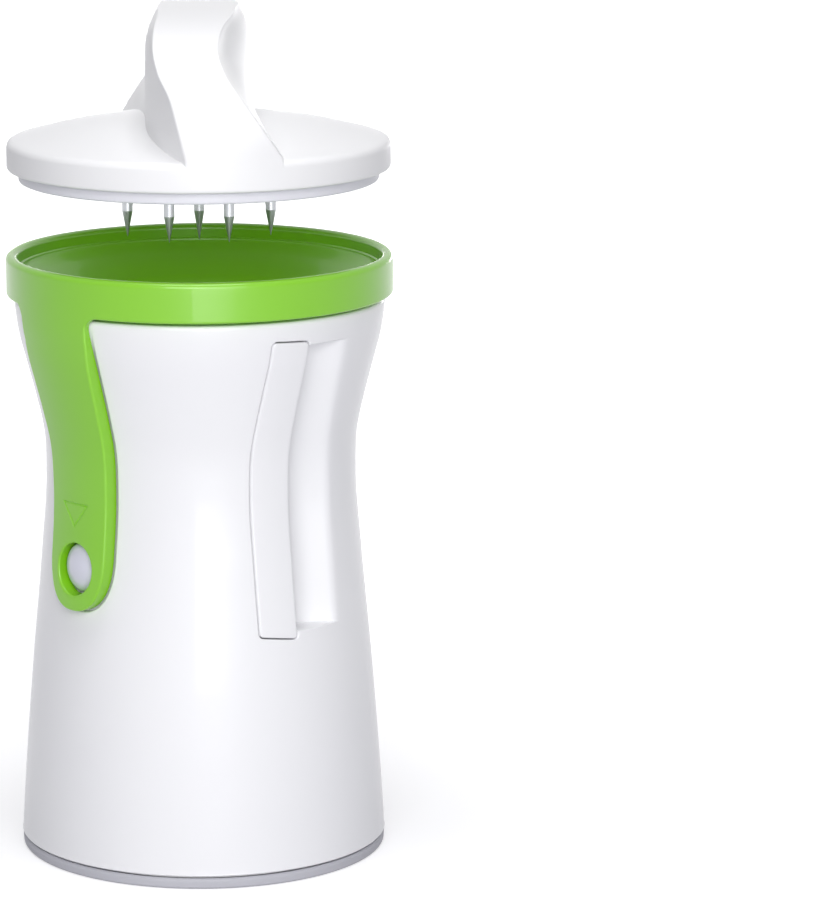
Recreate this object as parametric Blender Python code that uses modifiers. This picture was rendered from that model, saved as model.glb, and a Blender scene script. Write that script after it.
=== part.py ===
"""Hand-held spiralizer: a waisted body, a green collar with a cutting cone and a blade, and a hand-twisted pusher.

Metres, +Z up. The origin is the centre of the foot on the table. Azimuths are measured about Z,
from the front (-Y) towards the right (+X).
"""

import math

import bmesh
import bpy
import numpy as np
from mathutils import Matrix, Vector

mm = 0.001

# Driving dimensions
collar_radius = 44.0 * mm
collar_top = 138.0 * mm
collar_height = 9.0 * mm
collar_wall = 2.7 * mm
collar_round = 1.3 * mm
mouth_depth = 3.4 * mm
funnel_wall = 2.2 * mm
gap = 0.3 * mm
edge = 0.45 * mm
body_wall = 2.2 * mm
foot_height = 2.0 * mm
foot_width = 2.8 * mm
turned_steps = 56

# Waisted body: each level is a share of the collar's top height and a share of the collar's radius
body_shape = [(0.0, 0.9614), (0.145, 0.9318), (0.326, 0.8864), (0.507, 0.8341), (0.638, 0.8068), (0.710, 0.8159),
              (0.768, 0.8545), (0.819, 0.8955), (0.870, 0.9364), (0.9326, 0.9614), (1.0, 0.9636)]
outer_shares = (0.963, 0.925, 0.885, 0.851, 0.816, 0.777, 0.730, 0.684, 0.606, 0.513, 0.389, 0.249, 0.117, 0.033)
inner_shares = (0.233, 0.427, 0.590, 0.684, 0.761, 0.824, 0.886, 1.0)

# Arm of the collar, its hole and the release button in it
arm_azimuth = -46.9
arm_half_width = 8.8 * mm
arm_bottom = 61.0 * mm
arm_thickness = 2.6 * mm
arm_end_rise = 13.0 * mm
arm_flare = 5.1 * mm
arm_fillet = 1.9 * mm
hole_half_width = 5.35 * mm
hole_half_height = 5.9 * mm
button_crown = 1.9 * mm
button_flange = 1.8 * mm
button_travel = 1.5 * mm
latch_wall = 1.6 * mm
spring_wire = 0.42 * mm
spring_turns = 5

# Exit: a vertical bar with a scooped hollow to its right
exit_azimuth = 46.5
bar_near = 8.1 * mm
bar_far = 16.8 * mm
bar_bottom = 56.3 * mm
bar_top = 123.6 * mm
bar_corner = 0.9 * mm
bar_slant = 1.0 * mm
scoop_inset = 1.2 * mm
scoop_radius = 13.5 * mm
scoop_depth = 7.4 * mm
scoop_wall = 1.9 * mm

# Cutting cone and blade
throat_depth = 17.0 * mm
flange_width = 6.3 * mm
flange_thickness = 2.2 * mm
seat_thickness = 2.5 * mm
cone_bottom = 56.0 * mm
cone_wall = 1.9 * mm
core_tube_length = 6.0 * mm
blade_azimuth = 14.5
blade_width = 6.0 * mm
blade_thickness = 0.8 * mm
slot_width = 4.3 * mm
slot_edge = 0.9 * mm
comb_teeth = 7
tooth_length = 2.6 * mm
screw_shank = 0.65 * mm

# Pusher, lifted off the collar by this much
pusher_shown_lift = 19.2 * mm
cap_inset = 0.5 * mm
cap_rim_height = 6.8 * mm
cap_dome = 5.6 * mm
cap_shoulder = 3.2 * mm
cap_wall = 2.6 * mm
ring_play = 0.45 * mm
ring_wall = 2.45 * mm
grip_height = 30.1 * mm
grip_wall = 2.4 * mm
plate_thickness = 2.0 * mm
boss_radius = 3.2 * mm
spike_radius = 1.2 * mm
spike_count = 8
spike_length = 13.0 * mm

# Twisted grip: shares of its height, then of the cap's radius for its two front edges and its belly
grip_levels = (0.0, 0.26, 0.47, 0.63, 0.82, 0.95, 1.0)
grip_left = (-0.062, -0.106, -0.147, -0.202, -0.228, -0.214, -0.196)
grip_right = (0.432, 0.313, 0.211, 0.138, 0.104, 0.147, 0.196)
grip_belly = (0.269, 0.272, 0.274, 0.272, 0.262, 0.225, 0.205)

# Sizes that follow from the ones above
collar_low = collar_top - collar_height
collar_inner = collar_radius - collar_wall
body_top = collar_low - gap
cone_top = collar_top - throat_depth
cap_radius = collar_radius - cap_inset
ring_radius = collar_inner - ring_play


def body_radius(height):
    """Outer radius of the body at a height, smoothly through the listed levels."""
    levels = np.array([level for level, radius in body_shape]) * collar_top
    radii = np.array([radius for level, radius in body_shape]) * collar_radius
    slopes = np.gradient(radii, levels)
    height = min(max(height, levels[0]), levels[-1])
    i = int(min(np.searchsorted(levels, height, side="right") - 1, len(levels) - 2))
    step = levels[i + 1] - levels[i]
    t = (height - levels[i]) / step
    h00 = 2 * t ** 3 - 3 * t ** 2 + 1
    h10 = t ** 3 - 2 * t ** 2 + t
    h01 = -2 * t ** 3 + 3 * t ** 2
    h11 = t ** 3 - t ** 2
    value = h00 * radii[i] + h10 * step * slopes[i]
    value += h01 * radii[i + 1] + h11 * step * slopes[i + 1]
    return float(value)


flange_radius = body_radius(cone_top) - body_wall - 3 * gap
cone_top_radius = flange_radius - flange_width
cone_bottom_radius = 0.394 * cone_top_radius
base_radius = body_radius(0.0)
seat_top = cone_top + gap + seat_thickness
hole_height = arm_bottom + 1.6 * hole_half_height
button_radius = hole_half_width - gap
inside = 0.45 * collar_radius
outside = 1.36 * collar_radius


def cone_inner(height):
    """Inner radius of the cutting cone at a height."""
    t = (height - cone_bottom) / (cone_top - cone_bottom)
    return cone_bottom_radius + t * (cone_top_radius - cone_bottom_radius)


def scoop_floor(height):
    """Distance of the scoop's floor from the axis: it follows the body and stays clear of the cone."""
    below_skin = body_radius(height) - scoop_depth
    past_cone = cone_inner(height) + cone_wall + gap + scoop_wall
    return 0.5 * (below_skin + past_cone + math.hypot(below_skin - past_cone, 1.5 * mm))


def outward(azimuth):
    """Level unit vector pointing out of the body at an azimuth in degrees."""
    a = math.radians(azimuth)
    return Vector((math.sin(a), -math.cos(a), 0.0))


def frame_from(x_axis, y_axis, z_axis, origin):
    """World matrix with the given axes as columns."""
    matrix = Matrix((x_axis, y_axis, z_axis)).transposed().to_4x4()
    matrix.translation = origin
    return matrix


def radial_frame(azimuth, height=0.0, distance=0.0):
    """Local X goes round the body to the right, Y up and Z outward."""
    out = outward(azimuth)
    around = Vector((0, 0, 1)).cross(out)
    return frame_from(around, Vector((0, 0, 1)), out, out * distance + Vector((0, 0, height)))


def clear_scene():
    for item in list(bpy.data.objects):
        bpy.data.objects.remove(item, do_unlink=True)


def new_collection(name):
    collection = bpy.data.collections.new(name)
    bpy.context.scene.collection.children.link(collection)
    return collection


def make_material(name, colour, roughness, metallic=0.0):
    material = bpy.data.materials.new(name)
    material.use_nodes = True
    shader = material.node_tree.nodes["Principled BSDF"]
    shader.inputs["Base Color"].default_value = (*colour, 1.0)
    shader.inputs["Roughness"].default_value = roughness
    shader.inputs["Metallic"].default_value = metallic
    return material


clear_scene()
parts = new_collection("spiralizer")
cutters = new_collection("cutters")

white_plastic = make_material("white plastic", (0.80, 0.80, 0.81), 0.28)
cap_plastic = make_material("white cap plastic", (0.82, 0.82, 0.83), 0.34)
grey_plastic = make_material("pale grey plastic", (0.62, 0.61, 0.68), 0.35)
green_plastic = make_material("lime green plastic", (0.17, 0.43, 0.02), 0.30)
button_plastic = make_material("button plastic", (0.66, 0.66, 0.74), 0.25)
soft_foot = make_material("soft grey foot", (0.35, 0.35, 0.37), 0.70)
blade_steel = make_material("ground blade steel", (0.62, 0.63, 0.65), 0.22, 1.0)
spring_steel = make_material("spring steel", (0.45, 0.46, 0.48), 0.30, 1.0)


def place(item, material=None, cutter=False):
    (cutters if cutter else parts).objects.link(item)
    if cutter:
        item.hide_render = True
        item.display_type = "WIRE"
    if material is not None:
        item.data.materials.append(material)
    return item


def smooth_round(mesh, angle=35.0):
    mesh.shade_smooth()
    mesh.set_sharp_from_angle(angle=math.radians(angle))


def turned(name, profile, material=None, closed=True, steps=turned_steps, cutter=False, matrix=None):
    """Turns a profile of (radius, height) points about Z. The points run down the outer side first."""
    mesh = bpy.data.meshes.new(name)
    points = [(r, 0.0, z) for r, z in profile]
    edges = [(i, i + 1) for i in range(len(points) - 1)]
    if closed:
        edges.append((len(points) - 1, 0))
    mesh.from_pydata(points, edges, [])
    item = bpy.data.objects.new(name, mesh)
    place(item, material, cutter)
    if matrix is not None:
        item.matrix_world = matrix
    screw = item.modifiers.new("turn", "SCREW")
    screw.axis = "Z"
    screw.angle = 2 * math.pi
    screw.steps = steps
    screw.render_steps = steps
    screw.use_merge_vertices = True
    screw.merge_threshold = 0.00001
    screw.use_smooth_shade = True
    return item


def solidified(item, name, material=None, cutter=False):
    """Replaces a curve or a modified object with its evaluated mesh, welded and facing out."""
    bpy.context.view_layer.update()
    evaluated = item.evaluated_get(bpy.context.evaluated_depsgraph_get())
    mesh = bpy.data.meshes.new_from_object(evaluated)
    matrix = item.matrix_world.copy()
    bpy.data.objects.remove(item, do_unlink=True)
    bm = bmesh.new()
    bm.from_mesh(mesh)
    bmesh.ops.remove_doubles(bm, verts=bm.verts, dist=0.000002)
    bmesh.ops.recalc_face_normals(bm, faces=bm.faces)
    bm.to_mesh(mesh)
    bm.free()
    mesh.materials.clear()
    mesh.name = name
    result = bpy.data.objects.new(name, mesh)
    place(result, material, cutter)
    result.matrix_world = matrix
    return result


def extruded(name, outline, low, high, matrix, material=None, cutter=False):
    """A flat outline in the frame's XY plane, extruded along its Z from low to high."""
    curve = bpy.data.curves.new(name, "CURVE")
    curve.dimensions = "2D"
    curve.fill_mode = "BOTH"
    curve.extrude = (high - low) / 2
    spline = curve.splines.new("POLY")
    spline.points.add(len(outline) - 1)
    for point, (x, y) in zip(spline.points, outline):
        point.co = (x, y, 0.0, 1.0)
    spline.use_cyclic_u = True
    item = bpy.data.objects.new(name, curve)
    bpy.context.scene.collection.objects.link(item)
    item.matrix_world = matrix @ Matrix.Translation((0, 0, (low + high) / 2))
    return solidified(item, name, material, cutter)


def box(name, low, high, matrix, material=None, cutter=False):
    """A block between two corners of a local frame."""
    bm = bmesh.new()
    bmesh.ops.create_cube(bm, size=1.0)
    size = [high[i] - low[i] for i in range(3)]
    centre = [(high[i] + low[i]) / 2 for i in range(3)]
    bmesh.ops.scale(bm, vec=size, verts=bm.verts)
    bmesh.ops.translate(bm, vec=centre, verts=bm.verts)
    mesh = bpy.data.meshes.new(name)
    bm.to_mesh(mesh)
    bm.free()
    item = bpy.data.objects.new(name, mesh)
    place(item, material, cutter)
    item.matrix_world = matrix
    return item


def rod(name, radius, low, high, matrix, steps=24, cutter=True, material=None):
    """A round bar along the frame's Z."""
    profile = [(0.0, high), (radius, high), (radius, low), (0.0, low)]
    return turned(name, profile, material, closed=False, steps=steps, cutter=cutter, matrix=matrix)


def boolean(item, other, operation="DIFFERENCE"):
    modifier = item.modifiers.new(operation.lower(), "BOOLEAN")
    modifier.operation = operation
    modifier.solver = "EXACT"
    modifier.object = other
    return item


def round_edges(item, width, segments=2, angle=50.0):
    bevel = item.modifiers.new("rounded edges", "BEVEL")
    bevel.width = width
    bevel.segments = segments
    bevel.limit_method = "ANGLE"
    bevel.angle_limit = math.radians(angle)
    return item


def tube(name, points, radius, resolution, cutter=False, material=None, matrix=None):
    """A round tube along points, with filled ends."""
    curve = bpy.data.curves.new(name, "CURVE")
    curve.dimensions = "3D"
    curve.bevel_depth = radius
    curve.bevel_resolution = resolution
    curve.use_fill_caps = True
    spline = curve.splines.new("POLY")
    spline.points.add(len(points) - 1)
    for point, co in zip(spline.points, points):
        point.co = (*co, 1.0)
    item = bpy.data.objects.new(name, curve)
    bpy.context.scene.collection.objects.link(item)
    if matrix is not None:
        item.matrix_world = matrix
    return solidified(item, name, material, cutter)


def loft(name, rings, material=None, cutter=False):
    """A closed body through rings of equal point counts, capped at both ends."""
    bm = bmesh.new()
    levels = [[bm.verts.new(p) for p in ring] for ring in rings]
    for lower, upper in zip(levels[:-1], levels[1:]):
        for i in range(len(lower)):
            j = (i + 1) % len(lower)
            bm.faces.new((lower[i], lower[j], upper[j], upper[i]))
    bm.faces.new(levels[0])
    bm.faces.new(levels[-1])
    bmesh.ops.recalc_face_normals(bm, faces=bm.faces)
    mesh = bpy.data.meshes.new(name)
    bm.to_mesh(mesh)
    bm.free()
    item = bpy.data.objects.new(name, mesh)
    return place(item, material, cutter)


def outer_levels(low, high, count):
    return [high + (low - high) * i / (count - 1) for i in range(count)]


def swept_wall(inner_offset, outer_offset, low, high, count, limit=1.0):
    """Profile of a skin that follows the body between two offsets from its outer radius."""
    down = [(min(body_radius(z) + outer_offset, limit), z) for z in outer_levels(low, high, count)]
    up = [(body_radius(z) + inner_offset, z) for z in reversed(outer_levels(low, high, count))]
    return down + up


# Body: waisted shell with the scooped exit
exit_frame = radial_frame(exit_azimuth)

seat = foot_height + gap
outer_profile = [(body_radius(body_top) - edge, body_top), (body_radius(body_top), body_top - edge)]
outer_profile += [(body_radius(share * body_top), share * body_top) for share in outer_shares]
outer_profile += [(base_radius - 0.7 * edge, seat + 1.5 * edge), (base_radius - 2 * edge, seat)]
inner_profile = [(body_radius(seat) - body_wall, seat)]
inner_profile += [(body_radius(share * body_top) - body_wall, share * body_top) for share in inner_shares]

solid_profile = [(0.0, body_top)] + outer_profile + [(0.0, seat)]
body_shell = turned("body_shell", solid_profile, white_plastic, closed=False)

cavity_profile = [(0.0, body_top + body_wall), (inner_profile[-1][0], body_top + body_wall)]
cavity_profile += list(reversed(inner_profile))
cavity_profile += [(inner_profile[0][0], seat - body_wall), (0.0, seat - body_wall)]
cavity = turned("body cavity", cavity_profile, closed=False, cutter=True)

# In the exit frame X runs to the right, so the bar lies on its negative side
scoop_bottom = bar_bottom + 0.5 * scoop_inset
scoop_top = bar_top - scoop_inset
scoop_path = []
for z in outer_levels(scoop_bottom - 5 * scoop_wall, scoop_top + 5 * scoop_wall, 19):
    lean = (scoop_floor(z + mm) - scoop_floor(z - mm)) / (2 * mm)
    scoop_path.append((-bar_near, z, scoop_floor(z) + scoop_radius * math.hypot(1, lean)))
scoop_tube = tube("scoop round", scoop_path, scoop_radius, 12, cutter=True, matrix=exit_frame)
scoop_limits = box("scoop limits", (-bar_near - 2 * gap, scoop_bottom, inside),
                   (scoop_radius, scoop_top, outside), exit_frame, cutter=True)
boolean(scoop_tube, scoop_limits, "INTERSECT")

scoop_back = tube("scoop back", scoop_path, scoop_radius + scoop_wall, 12, cutter=True, matrix=exit_frame)
back_limits = box("scoop back limits", (-bar_near + 0.5 * gap, scoop_bottom - scoop_wall, inside),
                  (scoop_radius + scoop_wall, scoop_top + scoop_wall, outside), exit_frame, cutter=True)
boolean(scoop_back, back_limits, "INTERSECT")
boolean(cavity, scoop_back, "DIFFERENCE")


def bar_outline(spread):
    """Rounded outline of the bar in the exit frame, grown by spread on every side."""
    corners = ((-bar_near, bar_top - 0.4 * bar_slant, 0), (-bar_far, bar_top, 90),
               (-bar_far, bar_bottom, 180), (-bar_near, bar_bottom - bar_slant, 270))
    points = []
    for x, z, first in corners:
        cx = x - bar_corner if first in (0, 270) else x + bar_corner
        cz = z - bar_corner if first in (0, 90) else z + bar_corner
        for k in range(4):
            a = math.radians(first + 30 * k)
            points.append((cx + (bar_corner + spread) * math.cos(a), cz + (bar_corner + spread) * math.sin(a)))
    return points


window = extruded("exit window", bar_outline(gap), inside, outside, exit_frame, cutter=True)
latch_frame = radial_frame(arm_azimuth, hole_height)
button_bore = rod("button bore", button_radius + gap, inside, outside, latch_frame, steps=32)

boolean(body_shell, cavity)
boolean(body_shell, scoop_tube)
boolean(body_shell, window)
boolean(body_shell, button_bore)

# Bar beside the exit, flush with the body
bar_skin = turned("slot_bar", swept_wall(-body_wall, 0.0, bar_bottom - 2 * bar_slant, bar_top + bar_slant, 15),
                  white_plastic)
bar_prism = extruded("bar outline", bar_outline(0.0), inside, outside, exit_frame, cutter=True)
boolean(bar_skin, bar_prism, "INTERSECT")

# Foot: a soft ring under the body
foot_radius = base_radius - edge
foot_profile = [(foot_radius - 1.5 * edge, foot_height), (foot_radius, 0.6 * foot_height), (foot_radius - edge, 0.0)]
foot_profile += [(foot_radius - foot_width, 0.0), (foot_radius - foot_width, foot_height)]
foot_ring = turned("foot_ring", foot_profile, soft_foot)

# Collar with its funnel mouth and the arm that runs down the body
r = collar_radius
spigot_bottom = collar_low - funnel_wall
spigot_radius = body_radius(spigot_bottom) - body_wall - gap
collar_profile = [(r - collar_round, collar_top), (r - 0.38 * collar_round, collar_top - 0.27 * collar_round)]
collar_profile += [(r, collar_top - collar_round), (r - 0.1 * collar_round, collar_low + 0.8 * collar_round)]
collar_profile += [(r - 0.3 * collar_round, collar_low + 0.15 * collar_round), (r - 0.7 * collar_round, collar_low)]
collar_profile += [(spigot_radius, collar_low), (spigot_radius, spigot_bottom)]
collar_profile += [(spigot_radius - 0.8 * funnel_wall, spigot_bottom), (flange_radius - 1.2 * funnel_wall, seat_top)]
collar_profile += [(flange_radius, seat_top), (flange_radius, cone_top + gap), (cone_top_radius, cone_top + gap)]
mouth_low = collar_top - mouth_depth
for across, up in ((0.05, 0.0), (0.10, 0.19), (0.22, 0.38), (0.53, 0.62), (0.85, 0.83), (1.0, 1.0)):
    collar_profile.append((cone_top_radius + across * (collar_inner - cone_top_radius),
                           cone_top + 2 * gap + up * (mouth_low - cone_top - 2 * gap)))
collar_profile += [(collar_inner, collar_top - 0.85 * collar_round)]
collar_profile += [(collar_inner + 0.3 * collar_round, collar_top - 0.23 * collar_round)]
grip_collar = turned("grip_collar", collar_profile, green_plastic)

# Both flange and funnel stand back from the scoop's rear wall
notch_depth = scoop_floor(cone_top - flange_thickness) - 1.1 * scoop_wall - gap
notch = box("flange notch", (-bar_far - 2 * scoop_wall, cone_top - 2 * flange_width, notch_depth),
            (scoop_radius - bar_near + 2 * scoop_wall, scoop_top + scoop_wall + gap, outside), exit_frame, cutter=True)
boolean(grip_collar, notch)

arm_reach = collar_low - arm_bottom
arm_low = arm_bottom - arm_thickness
arm_skin = turned("arm skin", swept_wall(gap, arm_thickness + gap, arm_low, collar_low + collar_round, 17, r),
                  closed=True, cutter=True)
arm_outline = []
for k in range(17):
    a = math.pi + math.pi * k / 16
    across = math.copysign(abs(math.cos(a)) ** 0.83, math.cos(a))
    arm_outline.append((arm_half_width * across, arm_bottom + arm_end_rise * (1 - abs(math.sin(a)) ** 0.83)))
# The right side runs straight up to its fillet, the left side flares towards the collar
for k in range(5):
    a = math.radians(180 - 90 * k / 4)
    arm_outline.append((arm_half_width + arm_fillet * (1 + math.cos(a)), collar_low - arm_fillet * (1 - math.sin(a))))
arm_outline.append((arm_half_width + arm_fillet, collar_low + arm_fillet))
arm_outline.append((-arm_half_width - 1.5 * arm_flare, collar_low + arm_fillet))
for up, flare in ((1.0, 1.5), (0.975, 1.14), (0.937, 1.0), (0.844, 0.71), (0.75, 0.57), (0.65, 0.33), (0.538, 0.14),
                  (0.397, 0.06)):
    arm_outline.append((-arm_half_width - flare * arm_flare, arm_bottom + up * arm_reach))
arm_prism = extruded("arm outline", arm_outline, inside, outside, radial_frame(arm_azimuth), cutter=True)
boolean(arm_skin, arm_prism, "INTERSECT")
hole_outline = []
for k in range(32):
    a = 2 * math.pi * k / 32
    hole_outline.append((hole_half_width * math.cos(a), hole_half_height * math.sin(a)))
arm_hole = extruded("arm hole", hole_outline, inside, outside, latch_frame, cutter=True)
boolean(arm_skin, arm_hole)
boolean(grip_collar, arm_skin, "UNION")

# Release button, its spring and the cup that holds them inside the body
wall_out = body_radius(hole_height)
flange_reach = button_radius + button_flange
flange_out = wall_out - body_wall - flange_reach ** 2 / (2 * wall_out) - gap
peg_radius = 0.48 * button_radius
peg_end = flange_out - 2.5 * latch_wall
button_profile = [(0.0, wall_out + button_crown), (0.44 * button_radius, wall_out + 0.9 * button_crown),
                  (0.78 * button_radius, wall_out + 0.58 * button_crown), (button_radius, wall_out),
                  (button_radius, flange_out), (flange_reach, flange_out),
                  (flange_reach, flange_out - latch_wall), (peg_radius, flange_out - latch_wall),
                  (peg_radius, peg_end), (0.0, peg_end)]
release_button = turned("release_button", button_profile, button_plastic, closed=False, steps=28, matrix=latch_frame)

# Under the peg there is room for four times the button's travel
cup_floor = peg_end - 4 * button_travel
cup_inner = flange_reach + 1.5 * gap
cup_outer = cup_inner + latch_wall
cup_profile = [(cup_inner, outside), (cup_outer, outside), (cup_outer, cup_floor - latch_wall),
               (0.0, cup_floor - latch_wall), (0.0, cup_floor), (cup_inner, cup_floor)]
latch_cup = turned("latch_cup", cup_profile, white_plastic, closed=True, steps=28, matrix=latch_frame)
cup_limit = [(0.0, hole_height + inside)]
for z in outer_levels(hole_height - inside, hole_height + inside, 13):
    cup_limit.append((body_radius(z) - body_wall - gap, z))
cup_limit += [(0.0, hole_height - inside)]
inner_space = turned("cup limit", cup_limit, closed=False, cutter=True)
boolean(latch_cup, inner_space, "INTERSECT")

spring_points = []
spring_radius = 0.85 * button_radius
spring_low = cup_floor + spring_wire + gap
spring_high = flange_out - latch_wall - spring_wire - gap
for k in range(spring_turns * 10 + 1):
    a = 2 * math.pi * k / 10
    t = k / (spring_turns * 10)
    spring_points.append((spring_radius * math.cos(a), spring_radius * math.sin(a),
                          spring_low + t * (spring_high - spring_low)))
button_spring = tube("button_spring", spring_points, spring_wire, 1, material=spring_steel, matrix=latch_frame)


def screw(name, shank, length, head, head_height, matrix):
    """A pan-headed screw that points along the frame's Z, with its head under the origin."""
    profile = [(0.0, length), (shank, length), (shank, 0.0), (head, 0.0), (head, -0.6 * head_height),
               (0.63 * head, -head_height), (0.0, -head_height)]
    return turned(name, profile, spring_steel, closed=False, steps=12, matrix=matrix)


# Cutting cone with its slot, and the bed that the blade lies on
flange_low = cone_top - flange_thickness
tube_bottom = cone_bottom - core_tube_length
cone_profile = [(flange_radius, cone_top), (flange_radius, flange_low), (cone_inner(flange_low) + cone_wall, flange_low)]
cone_profile += [(cone_bottom_radius + cone_wall, cone_bottom), (cone_bottom_radius + cone_wall, tube_bottom)]
cone_profile += [(cone_bottom_radius, tube_bottom), (cone_bottom_radius, cone_bottom), (cone_top_radius, cone_top)]
cutting_cone = turned("cutting_cone", cone_profile, green_plastic)
boolean(cutting_cone, notch)

cone_slope = math.atan2(cone_top_radius - cone_bottom_radius, cone_top - cone_bottom)
blade_height = cone_bottom + 0.48 * (cone_top - cone_bottom)
blade_length = 0.68 * (cone_top - cone_bottom) / math.cos(cone_slope)
out = outward(blade_azimuth)
along = Vector((0, 0, 1)).cross(out)
upward = out * math.sin(cone_slope) + Vector((0, 0, math.cos(cone_slope)))
normal = along.cross(upward)
blade_origin = out * (cone_inner(blade_height) + cone_wall) + Vector((0, 0, blade_height))
blade_frame = frame_from(along, upward, normal, blade_origin)
half = blade_length / 2
bed_depth = 0.8 * cone_wall
bed_top = 3 * gap + 0.1 * blade_thickness
blade_low = bed_top + gap
blade_high = blade_low + blade_thickness

bed = box("blade bed", (slot_edge, -half - cone_wall / 2, -bed_depth), (blade_width, half + cone_wall / 2, bed_top),
          blade_frame, cutter=True)
slot = box("cone slot", (slot_edge - slot_width, -half, -3 * cone_wall), (slot_edge, half, 3 * cone_wall),
           blade_frame, cutter=True)
boolean(cutting_cone, bed, "UNION")
boolean(cutting_cone, slot)

# Blade: a ground strip whose edge meets the turning food
blade_section = [(0.0, 0.0), (blade_width - gap, 0.0), (blade_width - gap, blade_thickness),
                 (2.2 * blade_thickness, blade_thickness)]
section_frame = blade_frame @ Matrix(((1, 0, 0, 0), (0, 0, -1, 0), (0, 1, 0, 0), (0, 0, 0, 1)))
cutting_blade = extruded("cutting_blade", blade_section, -half + gap, half - gap,
                         section_frame @ Matrix.Translation((0, blade_low, 0)), blade_steel)
screw_line = 0.6 * blade_width
for number, share in enumerate((-0.36, 0.36)):
    spot = blade_frame @ Matrix.Translation((screw_line, share * blade_length, 0))
    hole = rod("bed hole %d" % number, screw_shank + gap, -bed_depth - cone_wall, blade_high + gap, spot, steps=12)
    boolean(cutting_cone, hole)
    hole = rod("blade hole %d" % number, screw_shank + gap, 0.5 * bed_top, blade_high + gap, spot, steps=12)
    boolean(cutting_blade, hole)
    head_frame = spot @ Matrix.Translation((0, 0, blade_high + gap)) @ Matrix.Rotation(math.pi, 4, "X")
    screw("blade_screw_%d" % (number + 1), screw_shank, blade_high + gap + 0.5 * bed_depth,
          2.5 * screw_shank, 1.4 * screw_shank, head_frame)

# Comb of teeth that splits the ribbon into strands
comb_half = half - 0.5 * tooth_length
comb_pitch = 2 * comb_half / (comb_teeth + 0.5)
comb_low = -0.5 * blade_thickness
comb_outline = [(-comb_half, blade_low), (-comb_half, comb_low)]
for k in range(comb_teeth):
    middle = (k - (comb_teeth - 1) / 2) * comb_pitch
    comb_outline += [(middle - 0.14 * comb_pitch, comb_low), (middle, comb_low - tooth_length),
                     (middle + 0.14 * comb_pitch, comb_low)]
comb_outline += [(comb_half, comb_low), (comb_half, blade_low)]
comb_frame = blade_frame @ Matrix(((0, 0, 1, 0), (1, 0, 0, 0), (0, 1, 0, 0), (0, 0, 0, 1)))
comb_side = slot_edge - slot_width + gap
strand_comb = extruded("strand_comb", comb_outline, comb_side, comb_side + 0.75 * blade_thickness,
                       comb_frame, blade_steel)

# Three screws hold the cone's flange under the collar
screw_circle = flange_radius - 0.38 * flange_width
for number, azimuth in enumerate((-75.0, 105.0, 195.0)):
    matrix = Matrix.Translation(outward(azimuth) * screw_circle + Vector((0, 0, flange_low - gap)))
    hole = rod("flange hole %d" % number, screw_shank + gap, -gap, seat_top - flange_low - 0.3 * gap, matrix, steps=12)
    boolean(cutting_cone, hole)
    boolean(grip_collar, hole)
    screw("flange_screw_%d" % (number + 1), screw_shank, seat_top - flange_low - gap,
          2.9 * screw_shank, 2.3 * screw_shank, matrix)

# Pusher: an empty carries every piece that turns with the cap
cap_bottom = collar_top + gap + pusher_shown_lift
pusher_axis = bpy.data.objects.new("pusher axis", None)
parts.objects.link(pusher_axis)
pusher_axis.location = (0, 0, cap_bottom)
bpy.context.view_layer.update()


def on_pusher(item):
    """Parents a piece to the pusher's axis, keeping its numbers relative to the cap's lower rim."""
    item.parent = pusher_axis
    return item


cap_top = cap_rim_height
R = cap_radius
crown = cap_top + cap_dome
rim_inside = ring_radius + ring_play
roof_low = cap_top - 0.77 * cap_wall
cap_profile = [(0.0, crown), (0.28 * R, crown - 0.08 * cap_dome), (0.55 * R, crown - 0.31 * cap_dome),
               (0.78 * R, crown - 0.63 * cap_dome), (0.95 * R, cap_top + 0.05 * cap_shoulder),
               (0.972 * R, cap_top - 0.03 * cap_shoulder), (0.991 * R, cap_top - 0.22 * cap_shoulder),
               (R, cap_top - 0.55 * cap_shoulder), (R, 1.8 * edge), (R - 0.7 * edge, 0.4 * edge), (R - 2 * edge, 0.0),
               (rim_inside, 0.0), (rim_inside, roof_low), (0.83 * R, cap_top - 0.62 * cap_wall),
               (0.55 * R, crown - 0.31 * cap_dome - cap_wall), (0.0, crown - cap_wall)]
pusher_cap = turned("pusher_cap", cap_profile, cap_plastic, closed=False)
on_pusher(pusher_cap)


def grip_ring(turn, shrink, floor, count=7):
    """One level outline of the twisted grip. turn runs from 0 at the foot to 90 degrees at the crest."""
    a = math.radians(turn)
    reach = R * math.cos(a) ** 0.62 - shrink
    height = grip_height * math.sin(a) ** 0.95 - shrink
    t = max(0.0, height / grip_height)
    left = np.interp(t, grip_levels, grip_left) * R + shrink
    right = np.interp(t, grip_levels, grip_right) * R - shrink
    belly = np.interp(t, grip_levels, grip_belly) * R - shrink

    def front(x):
        """Depth of the front face: round with the rim at the foot and flat at the crest."""
        return -(reach - (R - math.sqrt(R * R - x * x)) * (1 - t))

    side = []
    first, last = front(right), -front(left)
    for k in range(count * 2):
        s = -1 + k / count
        if s < 0.25:
            u = (s + 1) / 1.25
            x = right + (belly - right) * u * u * (3 - 2 * u)
        else:
            x = belly - (belly + left) * ((s - 0.25) / 0.75) ** 2.4
        side.append((x, first + (s + 1) / 2 * (last - first)))
    end = [(-left + k / 3 * (left - right), -front(-left + k / 3 * (left - right))) for k in range(3)]
    half_ring = side + end
    return [(x, y, height + floor) for x, y in half_ring + [(-x, -y) for x, y in half_ring]]


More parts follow.
